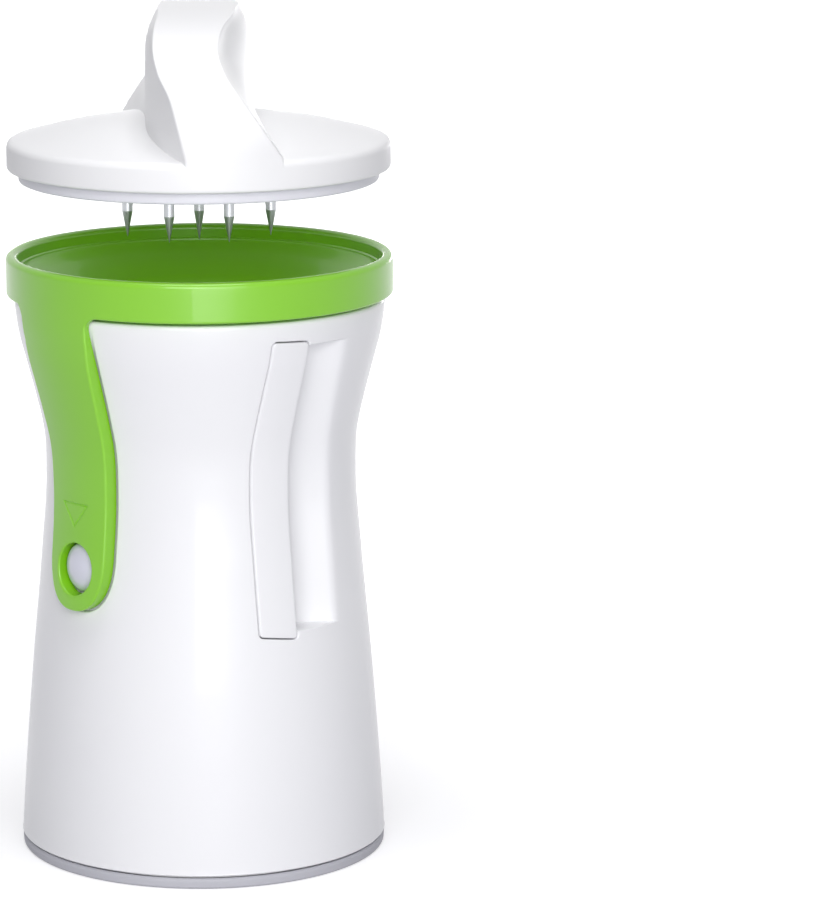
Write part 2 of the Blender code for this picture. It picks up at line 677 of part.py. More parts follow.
grip_floor = cap_top - 0.1 * cap_shoulder
steps = (0.8, 8, 16, 24, 32, 40, 48, 56, 64, 71, 77, 82, 86)
grip_rings = [[(x, y, cap_top - 0.55 * cap_shoulder) for x, y, z in grip_ring(steps[0], 0.0, grip_floor)]]
grip_rings += [grip_ring(step, 0.0, grip_floor) for step in steps]
grip_solid = loft("grip solid", grip_rings, cutter=True)
on_pusher(grip_solid)
hollow_steps = (9, 18, 27, 36, 45, 54, 63, 71, 78)
hollow_rings = [[(x * 0.97, y * 0.9, 0.8 * cap_wall) for x, y, z in grip_ring(hollow_steps[0], grip_wall, grip_floor)]]
hollow_rings += [grip_ring(step, grip_wall, grip_floor) for step in hollow_steps]
grip_hollow = loft("grip hollow", hollow_rings, cutter=True)
on_pusher(grip_hollow)
boolean(pusher_cap, grip_solid, "UNION")
boolean(pusher_cap, grip_hollow)

# Guide ring under the cap: it slides in the collar's mouth while the cap turns on it
ring_drop = 0.8 * mouth_depth
ring_inner = ring_radius - ring_wall
ring_profile = [(ring_radius - 0.7 * edge, roof_low - gap), (ring_radius, roof_low - gap - 0.7 * edge),
                (ring_radius, -ring_drop + 1.5 * edge), (ring_radius - 1.5 * edge, -ring_drop),
                (ring_inner + edge, -ring_drop), (ring_inner, -ring_drop + edge), (ring_inner, roof_low - gap)]
guide_ring = turned("guide_ring", ring_profile, grey_plastic, matrix=Matrix.Translation((0, 0, cap_bottom)))

# Spike plate inside the ring, screwed up to bosses under the cap
plate_radius = ring_inner - 1.4 * gap
plate_top = 0.7 * gap
plate_low = plate_top - plate_thickness
plate_profile = [(0.0, plate_top), (plate_radius, plate_top), (plate_radius, plate_low), (0.0, plate_low)]
spike_plate = turned("spike_plate", plate_profile, white_plastic, closed=False)
on_pusher(spike_plate)
boss_circle = 0.81 * plate_radius
plate_shank = 0.28 * boss_radius
for number, angle in enumerate((23.0, 203.0, 323.0, 143.0)):
    a = math.radians(angle)
    matrix = Matrix.Translation((boss_circle * math.cos(a), boss_circle * math.sin(a), 0))
    boss = on_pusher(rod("boss %d" % number, boss_radius, plate_top + gap, cap_top + 0.2 * cap_dome, matrix, steps=16))
    bore = on_pusher(rod("boss bore %d" % number, plate_shank + gap, plate_low - 2 * gap, roof_low + gap, matrix, steps=8))
    boss.matrix_local = matrix
    bore.matrix_local = matrix
    boolean(pusher_cap, boss, "UNION")
    boolean(pusher_cap, bore)
    boolean(spike_plate, bore)
    head_spot = matrix @ Matrix.Translation((0, 0, plate_low - gap))
    fastener = on_pusher(screw("plate_screw_%d" % (number + 1), plate_shank, roof_low - plate_low + gap,
                               0.72 * boss_radius, 1.3 * plate_shank, None))
    fastener.matrix_local = head_spot

# Spikes: headed pins through the plate that hold the food
spike_circle = 0.46 * plate_radius
spike_spots = [(spike_circle * math.cos(2 * math.pi * (k + 0.5) / spike_count),
                spike_circle * math.sin(2 * math.pi * (k + 0.5) / spike_count)) for k in range(spike_count)]
spike_spots.append((0.0, 0.0))
head_low = plate_top + gap
head_top = head_low + 0.8 * spike_radius
for number, (x, y) in enumerate(spike_spots):
    matrix = Matrix.Translation((x, y, 0))
    length = spike_length * (1.15 if number == spike_count else 1.0)
    bore = on_pusher(rod("spike bore %d" % number, spike_radius + 1.2 * gap, plate_low - gap, head_low, matrix, steps=8))
    bore.matrix_local = matrix
    boolean(spike_plate, bore)
    spike_profile = [(0.0, head_top), (1.8 * spike_radius, head_top), (1.8 * spike_radius, head_low),
                     (spike_radius, head_low), (spike_radius, plate_low - 0.55 * length),
                     (0.2 * spike_radius, plate_low - 0.96 * length), (0.0, plate_low - length)]
    spike = on_pusher(turned("spike_%d" % (number + 1), spike_profile, blade_steel, closed=False, steps=10))
    spike.matrix_local = matrix

for item in parts.objects:
    if item.type == "MESH":
        smooth_round(item.data)
bpy.context.view_layer.update()
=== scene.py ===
import math

import bmesh
import bpy
import numpy as np
from mathutils import Matrix, Vector, kdtree
from mathutils.geometry import delaunay_2d_cdt


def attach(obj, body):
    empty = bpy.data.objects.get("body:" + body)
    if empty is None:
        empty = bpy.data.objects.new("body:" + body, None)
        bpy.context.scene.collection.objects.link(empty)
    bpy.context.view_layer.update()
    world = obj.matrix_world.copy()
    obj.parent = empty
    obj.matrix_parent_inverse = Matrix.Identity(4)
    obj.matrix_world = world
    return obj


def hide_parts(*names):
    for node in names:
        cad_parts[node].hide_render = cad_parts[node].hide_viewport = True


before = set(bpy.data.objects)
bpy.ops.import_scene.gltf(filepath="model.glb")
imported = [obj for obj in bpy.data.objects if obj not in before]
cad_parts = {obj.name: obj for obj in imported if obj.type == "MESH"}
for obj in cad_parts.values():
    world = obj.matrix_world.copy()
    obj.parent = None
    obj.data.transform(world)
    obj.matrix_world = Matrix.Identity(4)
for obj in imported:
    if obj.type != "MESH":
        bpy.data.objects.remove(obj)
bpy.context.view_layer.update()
scene = bpy.context.scene
mm = 0.001

# ---------------------------------------------------------------- sizes, as in the part
collar_radius = 44.0 * mm
collar_top = 138.0 * mm
collar_low = 129.0 * mm
collar_inner = 41.3 * mm
collar_round = 1.3 * mm
body_top = 128.7 * mm
body_wall = 2.2 * mm
seat = 2.3 * mm
gap = 0.3 * mm
arm_azimuth = math.radians(-46.9)
arm_half_width = 8.8 * mm
arm_bottom = 61.0 * mm
arm_thickness = 2.6 * mm
arm_end_rise = 13.0 * mm
arm_flare = 5.1 * mm
arm_fillet = 2.9 * mm
hole_half_width = 5.35 * mm
hole_half_height = 5.9 * mm
hole_height = arm_bottom + 1.6 * hole_half_height
exit_azimuth = math.radians(46.5)
bar_near = 8.1 * mm
bar_far = 16.8 * mm
bar_bottom = 56.3 * mm
bar_top = 123.6 * mm
bar_slant = 1.0 * mm
bar_corner = 0.9 * mm
scoop_radius = 13.5 * mm
scoop_depth = 7.4 * mm
scoop_wall = 1.9 * mm
cone_top = 121.0 * mm
cone_bottom = 56.0 * mm
cone_wall = 1.9 * mm
mouth_low = 134.6 * mm
cap_bottom = 157.5 * mm
cap_radius = 43.5 * mm
cap_rim = 6.8 * mm
cap_dome = 5.6 * mm
cap_shoulder = 3.2 * mm
cap_wall = 2.6 * mm
ring_radius = 40.85 * mm
grip_height = 30.1 * mm
grip_wall = 2.4 * mm
plate_thickness = 2.0 * mm
flange_inset = 6.3 * mm
flange_thickness = 2.2 * mm
ring_wall = 2.45 * mm
ring_drop = 0.8 * 3.4 * mm
button_flange = 1.6 * mm
peg_reach = 4.0 * mm
cup_depth = 6.0 * mm
spring_wire = 0.42 * mm
blade_thickness = 0.8 * mm
spike_length = 13.0 * mm
boss_angles = tuple(math.radians(a) for a in (23, 203, 323, 143))

# The body's waist, as radii at levels up the shell
body_levels = np.array((0.0, 0.145, 0.326, 0.507, 0.638, 0.710, 0.768, 0.819, 0.870, 0.9326, 1.0)) * collar_top
body_radii = np.array((0.9614, 0.9318, 0.8864, 0.8341, 0.8068, 0.8159, 0.8545, 0.8955, 0.9364, 0.9614,
                       0.9636)) * collar_radius


def through(levels, values, x):
    """Smooth curve through a table, read at x."""
    slopes = np.gradient(values, levels)
    x = min(max(x, levels[0]), levels[-1])
    i = int(min(np.searchsorted(levels, x, side="right") - 1, len(levels) - 2))
    h = levels[i + 1] - levels[i]
    t = (x - levels[i]) / h
    value = (2 * t ** 3 - 3 * t ** 2 + 1) * values[i] + (t ** 3 - 2 * t ** 2 + t) * h * slopes[i]
    return float(value + (3 * t ** 2 - 2 * t ** 3) * values[i + 1] + (t ** 3 - t ** 2) * h * slopes[i + 1])


def body_radius(height):
    return through(body_levels, body_radii, height)


def ramp(low, high, x):
    """From 0 at low to 1 at high, eased at both ends."""
    t = min(max((x - low) / (high - low), 0.0), 1.0)
    return t * t * (3 - 2 * t)


def lesser(a, b, softness):
    """The smaller of two lengths, rounded where they cross."""
    return 0.5 * (a + b - math.hypot(a - b, softness))


flange_radius = body_radius(cone_top) - body_wall - 3 * gap
cone_top_radius = flange_radius - flange_inset
cone_bottom_radius = 0.394 * cone_top_radius
base_radius = body_radius(0.0)


def cone_inner(height):
    share = (height - cone_bottom) / (cone_top - cone_bottom)
    return cone_bottom_radius + share * (cone_top_radius - cone_bottom_radius)


def scoop_floor(height):
    """Radius of the scoop's deepest line: below the skin, but never through the cone's clearance."""
    below_skin = body_radius(height) - scoop_depth
    past_cone = cone_inner(height) + cone_wall + gap + scoop_wall
    return 0.5 * (below_skin + past_cone + math.hypot(below_skin - past_cone, 1.5 * mm))


# ---------------------------------------------------------------- mesh tools
def polar(azimuth, height, radius):
    """A point at an azimuth from the front (-Y) towards the right."""
    return Vector((radius * math.sin(azimuth), -radius * math.cos(azimuth), height))


def square_on(azimuth, x, height, depth):
    """A point in a frame that faces outward: x to the right, depth along the outward direction."""
    out = Vector((math.sin(azimuth), -math.cos(azimuth), 0.0))
    return out * depth + Vector((-out.y, out.x, 0.0)) * x + Vector((0, 0, height))


def on_skin(azimuth, x, height, radius):
    """A point on a cylinder, at a sideways distance x from the azimuth."""
    return square_on(azimuth, x, height, math.sqrt(radius * radius - x * x))


def strip(bm, lower, upper, closed=True):
    """Quads between two rows of points."""
    a = [bm.verts.new(p) for p in lower]
    b = [bm.verts.new(p) for p in upper]
    for i in range(len(a) if closed else len(a) - 1):
        j = (i + 1) % len(a)
        bm.faces.new((a[i], a[j], b[j], b[i]))


def strips(bm, rows, closed=True):
    for lower, upper in zip(rows[:-1], rows[1:]):
        strip(bm, lower, upper, closed)


def lid(bm, ring):
    """One face over a ring of points."""
    bm.faces.new([bm.verts.new(p) for p in ring])


def moved(outline, amounts, closed=True):
    """An outline moved to the right of its direction of travel, by one amount or one for each point."""
    p = np.array(outline, dtype=float)
    ahead = np.roll(p, -1, 0) - p
    if not closed:
        ahead[-1] = ahead[-2]
    ahead /= np.maximum(np.linalg.norm(ahead, axis=1), 1e-12)[:, None]
    behind = np.roll(ahead, 1, 0)
    if not closed:
        behind[0] = ahead[0]
    middle = ahead + behind
    middle /= np.maximum(np.linalg.norm(middle, axis=1), 1e-12)[:, None]
    square = np.column_stack((middle[:, 1], -middle[:, 0]))
    stretch = 1 / np.maximum((middle * ahead).sum(1), 0.6)
    return p + square * (stretch * amounts)[:, None]


def within(points, loops):
    """Even-odd test of flat points against closed loops."""
    odd = np.zeros(len(points), bool)
    x, y = points[:, 0], points[:, 1]
    for loop in loops:
        for (x1, y1), (x2, y2) in zip(loop, np.roll(loop, -1, 0)):
            if y1 != y2:
                odd ^= ((y1 > y) != (y2 > y)) & (x < (x2 - x1) * (y - y1) / (y2 - y1) + x1)
    return odd


def patch(bm, loops, place, step):
    """Near-even triangles between closed loops. A loop lists (flat, solid) points; place puts flat ones in space."""
    flats = [np.array([flat for flat, solid in loop], dtype=np.float32).astype(float) for loop in loops]
    solids = [solid for loop in loops for flat, solid in loop]
    edges, start = [], 0
    for flat in flats:
        edges += [(start + i, start + (i + 1) % len(flat)) for i in range(len(flat))]
        start += len(flat)
    border = np.vstack(flats)
    low, high = border.min(0), border.max(0)
    counts = np.maximum(1, np.round((high - low) / np.array(step))).astype(int)
    xs, ys = (np.linspace(low[k], high[k], counts[k] + 1)[1:-1] for k in (0, 1))
    grid = np.array([(x, y) for y in ys for x in xs]).reshape(-1, 2)
    tree = kdtree.KDTree(len(border))
    for i, (x, y) in enumerate(border):
        tree.insert((x, y, 0), i)
    tree.balance()
    if len(grid):
        grid = grid[within(grid, flats)]
    grid = [p for p in grid if tree.find((p[0], p[1], 0))[2] > 0.55 * min(step)]
    points = [Vector(p) for p in border] + [Vector(p) for p in grid]
    found, _, faces, origins, _, _ = delaunay_2d_cdt(points, edges, [], 0, 1e-9)
    verts = []
    for flat, origin in zip(found, origins):
        known = [i for i in origin if i < len(solids)]
        verts.append(bm.verts.new(solids[known[0]] if known else place(flat.x, flat.y)))
    corners = np.array([tuple(flat) for flat in found])
    centres = np.array([corners[list(face)].mean(0) for face in faces])
    for face, kept in zip(faces, within(centres, flats)):
        if kept:
            bm.faces.new([verts[i] for i in face])


def welded(bm, name, angle=38.0, distance=0.002 * mm):
    """Turns the faces into a closed mesh that points outward and shades smoothly up to an angle."""
    bmesh.ops.remove_doubles(bm, verts=bm.verts, dist=distance)
    bmesh.ops.dissolve_degenerate(bm, edges=bm.edges, dist=0.0005 * mm)
    bmesh.ops.recalc_face_normals(bm, faces=bm.faces)
    mesh = bpy.data.meshes.new(name)
    bm.to_mesh(mesh)
    bm.free()
    if sum(f.area * f.center.dot(f.normal) for f in mesh.polygons) < 0:
        mesh.flip_normals()
    return smoothed(mesh, angle)


def smoothed(mesh, angle=38.0):
    mesh.shade_smooth()
    mesh.set_sharp_from_angle(angle=math.radians(angle))
    return mesh


def turned(bm, profile, steps=120, matrix=Matrix()):
    """A profile of (radius, height) points turned about Z, closed on itself or on the axis."""
    rows = []
    for radius, height in profile:
        rows.append([matrix @ Vector((radius * math.cos(a), radius * math.sin(a), height))
                     for a in np.arange(steps) * 2 * math.pi / steps])
    strips(bm, rows)
    if profile[0][0] > 0 or profile[-1][0] > 0:
        strip(bm, rows[-1], rows[0])


def rounded(profile, radii, segments=5):
    """A closed profile with its corners turned into arcs. radii lists one radius for each corner."""
    points = [Vector(p) for p in profile]
    result = []
    for i, (corner, radius) in enumerate(zip(points, radii)):
        before, after = points[i - 1] - corner, points[(i + 1) % len(points)] - corner
        reach = min(radius, 0.49 * before.length, 0.49 * after.length)
        if reach <= 0:
            result.append(tuple(corner))
            continue
        a, b = corner + before.normalized() * reach, corner + after.normalized() * reach
        for k in range(segments + 1):
            t = k / segments
            result.append(tuple(a * (1 - t) ** 2 + corner * 2 * t * (1 - t) + b * t * t))
    return result


def cut(mesh, others, operation="DIFFERENCE", angle=38.0):
    """Exact boolean of a mesh with others, as a plain mesh."""
    item = bpy.data.objects.new("work", mesh)
    scene.collection.objects.link(item)
    helpers = []
    for other in others:
        helper = bpy.data.objects.new("helper", other)
        scene.collection.objects.link(helper)
        helpers.append(helper)
        modifier = item.modifiers.new("cut", "BOOLEAN")
        modifier.operation, modifier.solver, modifier.object = operation, "EXACT", helper
    result = plain(item)
    for helper in helpers:
        bpy.data.objects.remove(helper, do_unlink=True)
    return smoothed(result, angle)


def plain(item):
    """The evaluated mesh of an object, which is then removed."""
    bpy.context.view_layer.update()
    mesh = bpy.data.meshes.new_from_object(item.evaluated_get(bpy.context.evaluated_depsgraph_get()))
    bpy.data.objects.remove(item, do_unlink=True)
    return mesh


def levelled(mesh):
    """Corner normals that follow the large faces, so that slivers beside a cut don't show."""
    item = bpy.data.objects.new("work", mesh)
    scene.collection.objects.link(item)
    modifier = item.modifiers.new("level shading", "WEIGHTED_NORMAL")
    modifier.keep_sharp, modifier.weight = True, 60
    return plain(item)


def finished(name, mesh, material, body, nodes):
    """Shows a mesh as a piece that rides a body and stands for CAD nodes."""
    mesh.materials.clear()
    mesh.materials.append(material)
    item = bpy.data.objects.new(name, mesh)
    scene.collection.objects.link(item)
    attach(item, body)
    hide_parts(*nodes)
    return item


# ---------------------------------------------------------------- materials
def srgb(text):
    """Linear colour from a hex sRGB value."""
    parts = [int(text[i:i + 2], 16) / 255 for i in (0, 2, 4)]
    return (*[c / 12.92 if c <= 0.04045 else ((c + 0.055) / 1.055) ** 2.4 for c in parts], 1.0)


def add(tree, kind, settings=(), links=()):
    """Adds a node, sets its properties and sockets, and links its inputs from other nodes' sockets."""
    node = tree.nodes.new(kind)
    for key, value in dict(settings).items():
        if isinstance(key, str) and hasattr(node, key):
            setattr(node, key, value)
        else:
            node.inputs[key].default_value = value
    for key, socket in dict(links).items():
        tree.links.new(socket, node.inputs[key])
    return node


def moulded(name, colour, shade, roughness, texture_mm, bump, mottle=0.03, subsurface=0.0, coat=0.0, ior=1.53):
    """A moulded plastic or rubber: slow drifts of colour and gloss from the flow, and the mould's fine grain.

    The real grain is finer than 0.2 mm. It is drawn at texture_mm, coarse enough to show.
    """
    material = bpy.data.materials.new(name)
    material.use_nodes = True
    tree = material.node_tree
    shader = tree.nodes["Principled BSDF"]
    place = add(tree, "ShaderNodeTexCoord").outputs["Object"]
    flow = add(tree, "ShaderNodeTexNoise", {"Scale": 1 / (38 * mm), "Detail": 1.0}, {"Vector": place})
    grain = add(tree, "ShaderNodeTexNoise", {"Scale": 1 / (texture_mm * mm), "Detail": 2.0}, {"Vector": place})
    colours = add(tree, "ShaderNodeMix", {"data_type": "RGBA", 6: srgb(colour), 7: srgb(shade)},
                  {0: flow.outputs["Fac"]})
    tree.links.new(colours.outputs[2], shader.inputs["Base Color"])
    gloss = add(tree, "ShaderNodeMapRange", {"To Min": roughness - mottle, "To Max": roughness + mottle},
                {"Value": flow.outputs["Fac"]})
    tree.links.new(gloss.outputs["Result"], shader.inputs["Roughness"])
    relief = add(tree, "ShaderNodeBump", {"Strength": bump, "Distance": 0.05 * mm}, {"Height": grain.outputs["Fac"]})
    tree.links.new(relief.outputs["Normal"], shader.inputs["Normal"])
    shader.inputs["IOR"].default_value = ior
    if subsurface:
        shader.inputs["Subsurface Weight"].default_value = subsurface
        shader.inputs["Subsurface Radius"].default_value = (1.0, 1.0, 1.0)
        shader.inputs["Subsurface Scale"].default_value = 1.2 * mm
    if coat:
        shader.inputs["Coat Weight"].default_value = coat
        shader.inputs["Coat Roughness"].default_value = 0.05
    return material


def steel(name, colour, roughness, groove_mm, bump):
    """Stainless steel with fine parallel grinding lines."""
    material = bpy.data.materials.new(name)
    material.use_nodes = True
    tree = material.node_tree
    shader = tree.nodes["Principled BSDF"]
    place = add(tree, "ShaderNodeTexCoord").outputs["Object"]
    drawn = add(tree, "ShaderNodeMapping", {"Scale": (1.0, 1.0, 0.06)}, {"Vector": place})
    lines = add(tree, "ShaderNodeTexNoise", {"Scale": 1 / (groove_mm * mm), "Detail": 3.0},
                {"Vector": drawn.outputs["Vector"]})
    dark = add(tree, "ShaderNodeMapRange", {"To Min": 0.82, "To Max": 1.0}, {"Value": lines.outputs["Fac"]})
    tone = add(tree, "ShaderNodeMix", {"data_type": "RGBA", "blend_type": "MULTIPLY", 0: 1.0, 6: srgb(colour)},
               {7: dark.outputs["Result"]})
    tree.links.new(tone.outputs[2], shader.inputs["Base Color"])
    rough = add(tree, "ShaderNodeMapRange", {"To Min": roughness - 0.06, "To Max": roughness + 0.08},
                {"Value": lines.outputs["Fac"]})
    tree.links.new(rough.outputs["Result"], shader.inputs["Roughness"])
    relief = add(tree, "ShaderNodeBump", {"Strength": bump, "Distance": 0.02 * mm}, {"Height": lines.outputs["Fac"]})
    tree.links.new(relief.outputs["Normal"], shader.inputs["Normal"])
    shader.inputs["Metallic"].default_value = 1.0
    return material


# Glossy white ABS, injection moulded: clean soft highlights along its edges
white_abs = moulded("white ABS gloss moulding", "F4F4F6", "F0F0F3", 0.34, 0.9, 0.05, coat=0.35)
# The pusher's ABS has a finer satin mould face, so its highlights are wider and dimmer
satin_abs = moulded("white ABS satin moulding", "F4F4F5", "F0F0F1", 0.42, 0.7, 0.08)
# Lime ABS, dyed through: bright where the light comes over an edge, deeper on the flat arm
lime_abs = moulded("lime ABS gloss moulding", "85CC14", "7FC710", 0.33, 0.9, 0.05, coat=0.42)
# Natural polypropylene of the guide ring: a cool grey with a waxy sheen
grey_pp = moulded("grey polypropylene", "E8E8EE", "E0E0E8", 0.42, 0.8, 0.08, subsurface=0.10, ior=1.49)
# Clear-tinted SAN of the button: a milky lavender dome with a small sharp highlight
milky_san = moulded("milky SAN button", "E4E4F0", "D6D7E6", 0.16, 1.2, 0.02, 0.01, subsurface=0.25, coat=0.4,
                    ior=1.57)
# Soft thermoplastic rubber of the foot: dull, faintly grained. Its grey is partly the rubber's own tone and partly
# painted shade: it is darkened so that the band along the base reads as the shade under the body's lower edge.
foot_rubber_painted_shade = moulded("soft thermoplastic rubber darkened as painted shade", "C6C6CD", "BCBCC4", 0.58, 0.35, 0.30, ior=1.50)
# Ground stainless strip: streaks along the blade
ground_steel = steel("ground stainless steel", "C9CBCF", 0.35, 0.25, 0.25)
# Zinc-plated carbon steel of the screws and the spring
plated_steel = steel("zinc-plated steel", "B4B6BA", 0.36, 0.4, 0.12)

# ---------------------------------------------------------------- body shell
around = 180
unrolled = 40 * mm
columns = np.linspace(-math.pi, math.pi, around + 1)
pocket_depth = 1.3 * mm
pocket_roll = 0.4 * mm
pocket_fade_low, pocket_fade_high = 117.0 * mm, 126.7 * mm
pocket_end = 126.8 * mm
arm_clearance = 0.45 * mm
edge_roll = 0.35 * mm

flare_levels = np.array((0.0, 0.25, 0.397, 0.538, 0.65, 0.75, 0.844, 0.937, 0.975, 1.0))
flare_shares = np.array((0.0, 0.0, 0.06, 0.17, 0.33, 0.50, 0.72, 1.0, 1.17, 1.5))


def arm_outline():
    """The arm's outline below the collar, from its left root down, round its end and up to its right root."""
    reach = collar_low - arm_bottom
    points = []
    for z in np.linspace(collar_low, arm_bottom + arm_end_rise, 46)[:-1]:
        points.append((-arm_half_width - arm_flare * through(flare_levels, flare_shares, (z - arm_bottom) / reach), z))
    for k in range(41):
        a = math.pi + math.pi * k / 40
        across = math.copysign(abs(math.cos(a)) ** 0.83, math.cos(a))
        points.append((arm_half_width * across, arm_bottom + arm_end_rise * (1 - abs(math.sin(a)) ** 0.83)))
    for z in np.linspace(arm_bottom + arm_end_rise, collar_low - arm_fillet, 40)[1:-1]:
        points.append((arm_half_width, z))
    for k in range(9):
        a = math.radians(180 - 90 * k / 8)
        points.append((arm_half_width + arm_fillet * (1 + math.cos(a)), collar_low - arm_fillet * (1 - math.sin(a))))
    return points


def ellipse(half_width, half_height, middle, count=48):
    return [(half_width * math.cos(a), middle + half_height * math.sin(a))
            for a in np.arange(count) * 2 * math.pi / count]


def pocket_share(height):
    """How much of the pocket's depth is left: it runs out under the collar."""
    return 1 - ramp(pocket_fade_low, pocket_fade_high, height)


def pocket_point(x, z, depth=pocket_depth):
    return on_skin(arm_azimuth, x, z, body_radius(z) - depth * pocket_share(z))


def exit_skin(x, z):
    """The shell's outside, as a depth in the exit's frame."""
    return math.sqrt(body_radius(z) ** 2 - x * x)


scoop_bottom = bar_bottom + 0.6 * mm
scoop_top = bar_top - 1.2 * mm
scoop_left = -bar_near + gap
scoop_right = 9.5 * mm


def scoop_point(x, z):
    """The scooped hollow: round beside the bar, easing into the skin on its right."""
    skin = exit_skin(x, z)
    across = min(x + bar_near, 0.999 * scoop_radius)
    floor = scoop_floor(z) + scoop_radius - math.sqrt(scoop_radius ** 2 - across ** 2)
    depth = 0.5 * (skin - floor + math.hypot(skin - floor, 1.4 * mm)) * (1 - ramp(1.0 * mm, scoop_right, x))
    return skin - depth


def bar_outline(spread, steps=7):
    """The bar's outline with its corners rounded, grown by spread."""
    corners = ((-bar_near, bar_top - 0.4 * bar_slant, 0), (-bar_far, bar_top, 90),
               (-bar_far, bar_bottom, 180), (-bar_near, bar_bottom - bar_slant, 270))
    points = []
    for x, z, first in corners:
        cx = x - bar_corner if first in (0, 270) else x + bar_corner
        cz = z - bar_corner if first in (0, 90) else z + bar_corner
        for k in range(steps):
            a = math.radians(first + 90 * k / (steps - 1))
            points.append((cx + (bar_corner + spread) * math.cos(a), cz + (bar_corner + spread) * math.sin(a)))
    return points


def evened(points, step, closed=True):
    """Adds points to long edges."""
    result = []
    ends = points[1:] + points[:1] if closed else points[1:]
    for (x1, y1), (x2, y2) in zip(points, ends):
        count = max(1, round(math.hypot(x2 - x1, y2 - y1) / step))
        result += [(x1 + (x2 - x1) * k / count, y1 + (y2 - y1) * k / count) for k in range(count)]
    return result if closed else result + [points[-1]]


def flat_of(point):
    """Azimuth as an arc length, and height."""
    return (math.atan2(point.x, -point.y) * unrolled, point.z)


bm = bmesh.new()
shell_foot = seat + 0.5 * mm
shell_low, shell_high = shell_foot + 0.8 * mm, body_top - 1.5 * mm
flank = np.linspace(shell_low, shell_high, 91)
border = [((a * unrolled, shell_low), polar(a, shell_low, body_radius(shell_low))) for a in columns]
border += [((math.pi * unrolled, z), polar(math.pi, z, body_radius(z))) for z in flank[1:-1]]
border += [((a * unrolled, shell_high), polar(a, shell_high, body_radius(shell_high))) for a in reversed(columns)]
border += [((-math.pi * unrolled, z), polar(math.pi, z, body_radius(z))) for z in flank[-2:0:-1]]

# Shallow pocket that the arm lies in, with a rounded lip
arm_edge = arm_outline()
clearances = [arm_clearance * (0.3 + 0.7 * pocket_share(z)) for x, z in arm_edge]
pocket_edge = [tuple(p) for p in moved(arm_edge, np.array(clearances), closed=False)]
pocket_edge = [p for p in pocket_edge if p[1] < pocket_end]
pocket_edge = evened(pocket_edge, 1.3 * mm)
lip = [(0.0, pocket_depth), (0.02 * mm, pocket_roll)]
lip += [(0.02 * mm + pocket_roll * (1 - math.cos(a)), pocket_roll * (1 - math.sin(a)))
        for a in np.radians((22, 45, 67, 90))]
pocket_rows = []
for outward, depth in lip:
    pocket_rows.append([pocket_point(x, z, depth) for x, z in moved(pocket_edge, outward)])
strips(bm, pocket_rows)
pocket_rim = [(flat_of(p), p) for p in pocket_rows[-1]]
bore_edge = ellipse(hole_half_width, hole_half_height, hole_height)
bore_rows = [[pocket_point(x, z) for x, z in bore_edge],
             [square_on(arm_azimuth, x, z, body_radius(hole_height) - 6 * mm) for x, z in bore_edge]]
strips(bm, bore_rows)
lid(bm, bore_rows[-1])
patch(bm, [[(tuple(p), s) for p, s in zip(pocket_edge, pocket_rows[0])],
           [(p, s) for p, s in zip(bore_edge, bore_rows[0])]], pocket_point, (1.4 * mm, 1.4 * mm))

# Exit: window for the bar, and the scoop to its right
window = bar_outline(gap)
top_line = [(x, scoop_top) for x in np.linspace(scoop_right, scoop_left, 26)]
bottom_line = [(x, scoop_bottom) for x in np.linspace(scoop_left, scoop_right, 26)]
ring = [p for p in window[:7] if p[1] > scoop_top + 0.05 * mm]
ring = [top_line[-1]] + ring + window[7:] + [bottom_line[0]]
ring = evened(ring, 1.3 * mm, closed=False)
chain = top_line[:-1] + ring + bottom_line[1:]
shares = []
for x, z in chain:
    on_line = z in (scoop_top, scoop_bottom)
    shares.append(ramp(0.0, 1.5 * mm, exit_skin(x, z) - scoop_point(x, z)) if on_line else 1.0)
shares = np.array(shares)
edge_rows = []
for a in np.radians((0, 22, 45, 67, 90)):
    row = []
    for (x, z), share in zip(moved(chain, edge_roll * (1 - math.cos(a)) * shares, closed=False), shares):
        row.append(square_on(exit_azimuth, x, z, exit_skin(x, z) - edge_roll * (1 - math.sin(a)) * share))
    edge_rows.append(row)
strips(bm, edge_rows, closed=False)
right_line = [(scoop_right, z) for z in np.linspace(scoop_bottom, scoop_top, 50)]
left_line = [(scoop_left, z) for z in np.linspace(scoop_bottom, scoop_top, 50)]
exit_rim = [(flat_of(p), p) for p in edge_rows[-1]]
for x, z in right_line[1:-1]:
    p = square_on(exit_azimuth, x, z, exit_skin(x, z))
    exit_rim.append((flat_of(p), p))


def scoop_place(x, z):
    return square_on(exit_azimuth, x, z, scoop_point(x, z))


floor_edge = top_line + left_line[-2:0:-1] + bottom_line + right_line[1:-1]
patch(bm, [[(p, scoop_place(*p)) for p in floor_edge]], scoop_place, (1.0 * mm, 1.3 * mm))
count = len(top_line)
strip(bm, edge_rows[0][:count], [scoop_place(*p) for p in top_line], closed=False)
strip(bm, edge_rows[0][-count:], [scoop_place(*p) for p in bottom_line], closed=False)
blind = 0.45 * collar_radius
middle_row = [square_on(exit_azimuth, x, z, scoop_point(scoop_left, min(max(z, scoop_bottom), scoop_top)))
              for x, z in ring]
strips(bm, [edge_rows[0][count - 1:count - 1 + len(ring)], middle_row,
            [square_on(exit_azimuth, x, z, blind) for x, z in ring]], closed=False)
strip(bm, [scoop_place(*p) for p in left_line], [square_on(exit_azimuth, x, z, blind) for x, z in left_line],
      closed=False)
lid(bm, [square_on(exit_azimuth, x, z, blind) for x, z in ring + left_line[1:-1]])

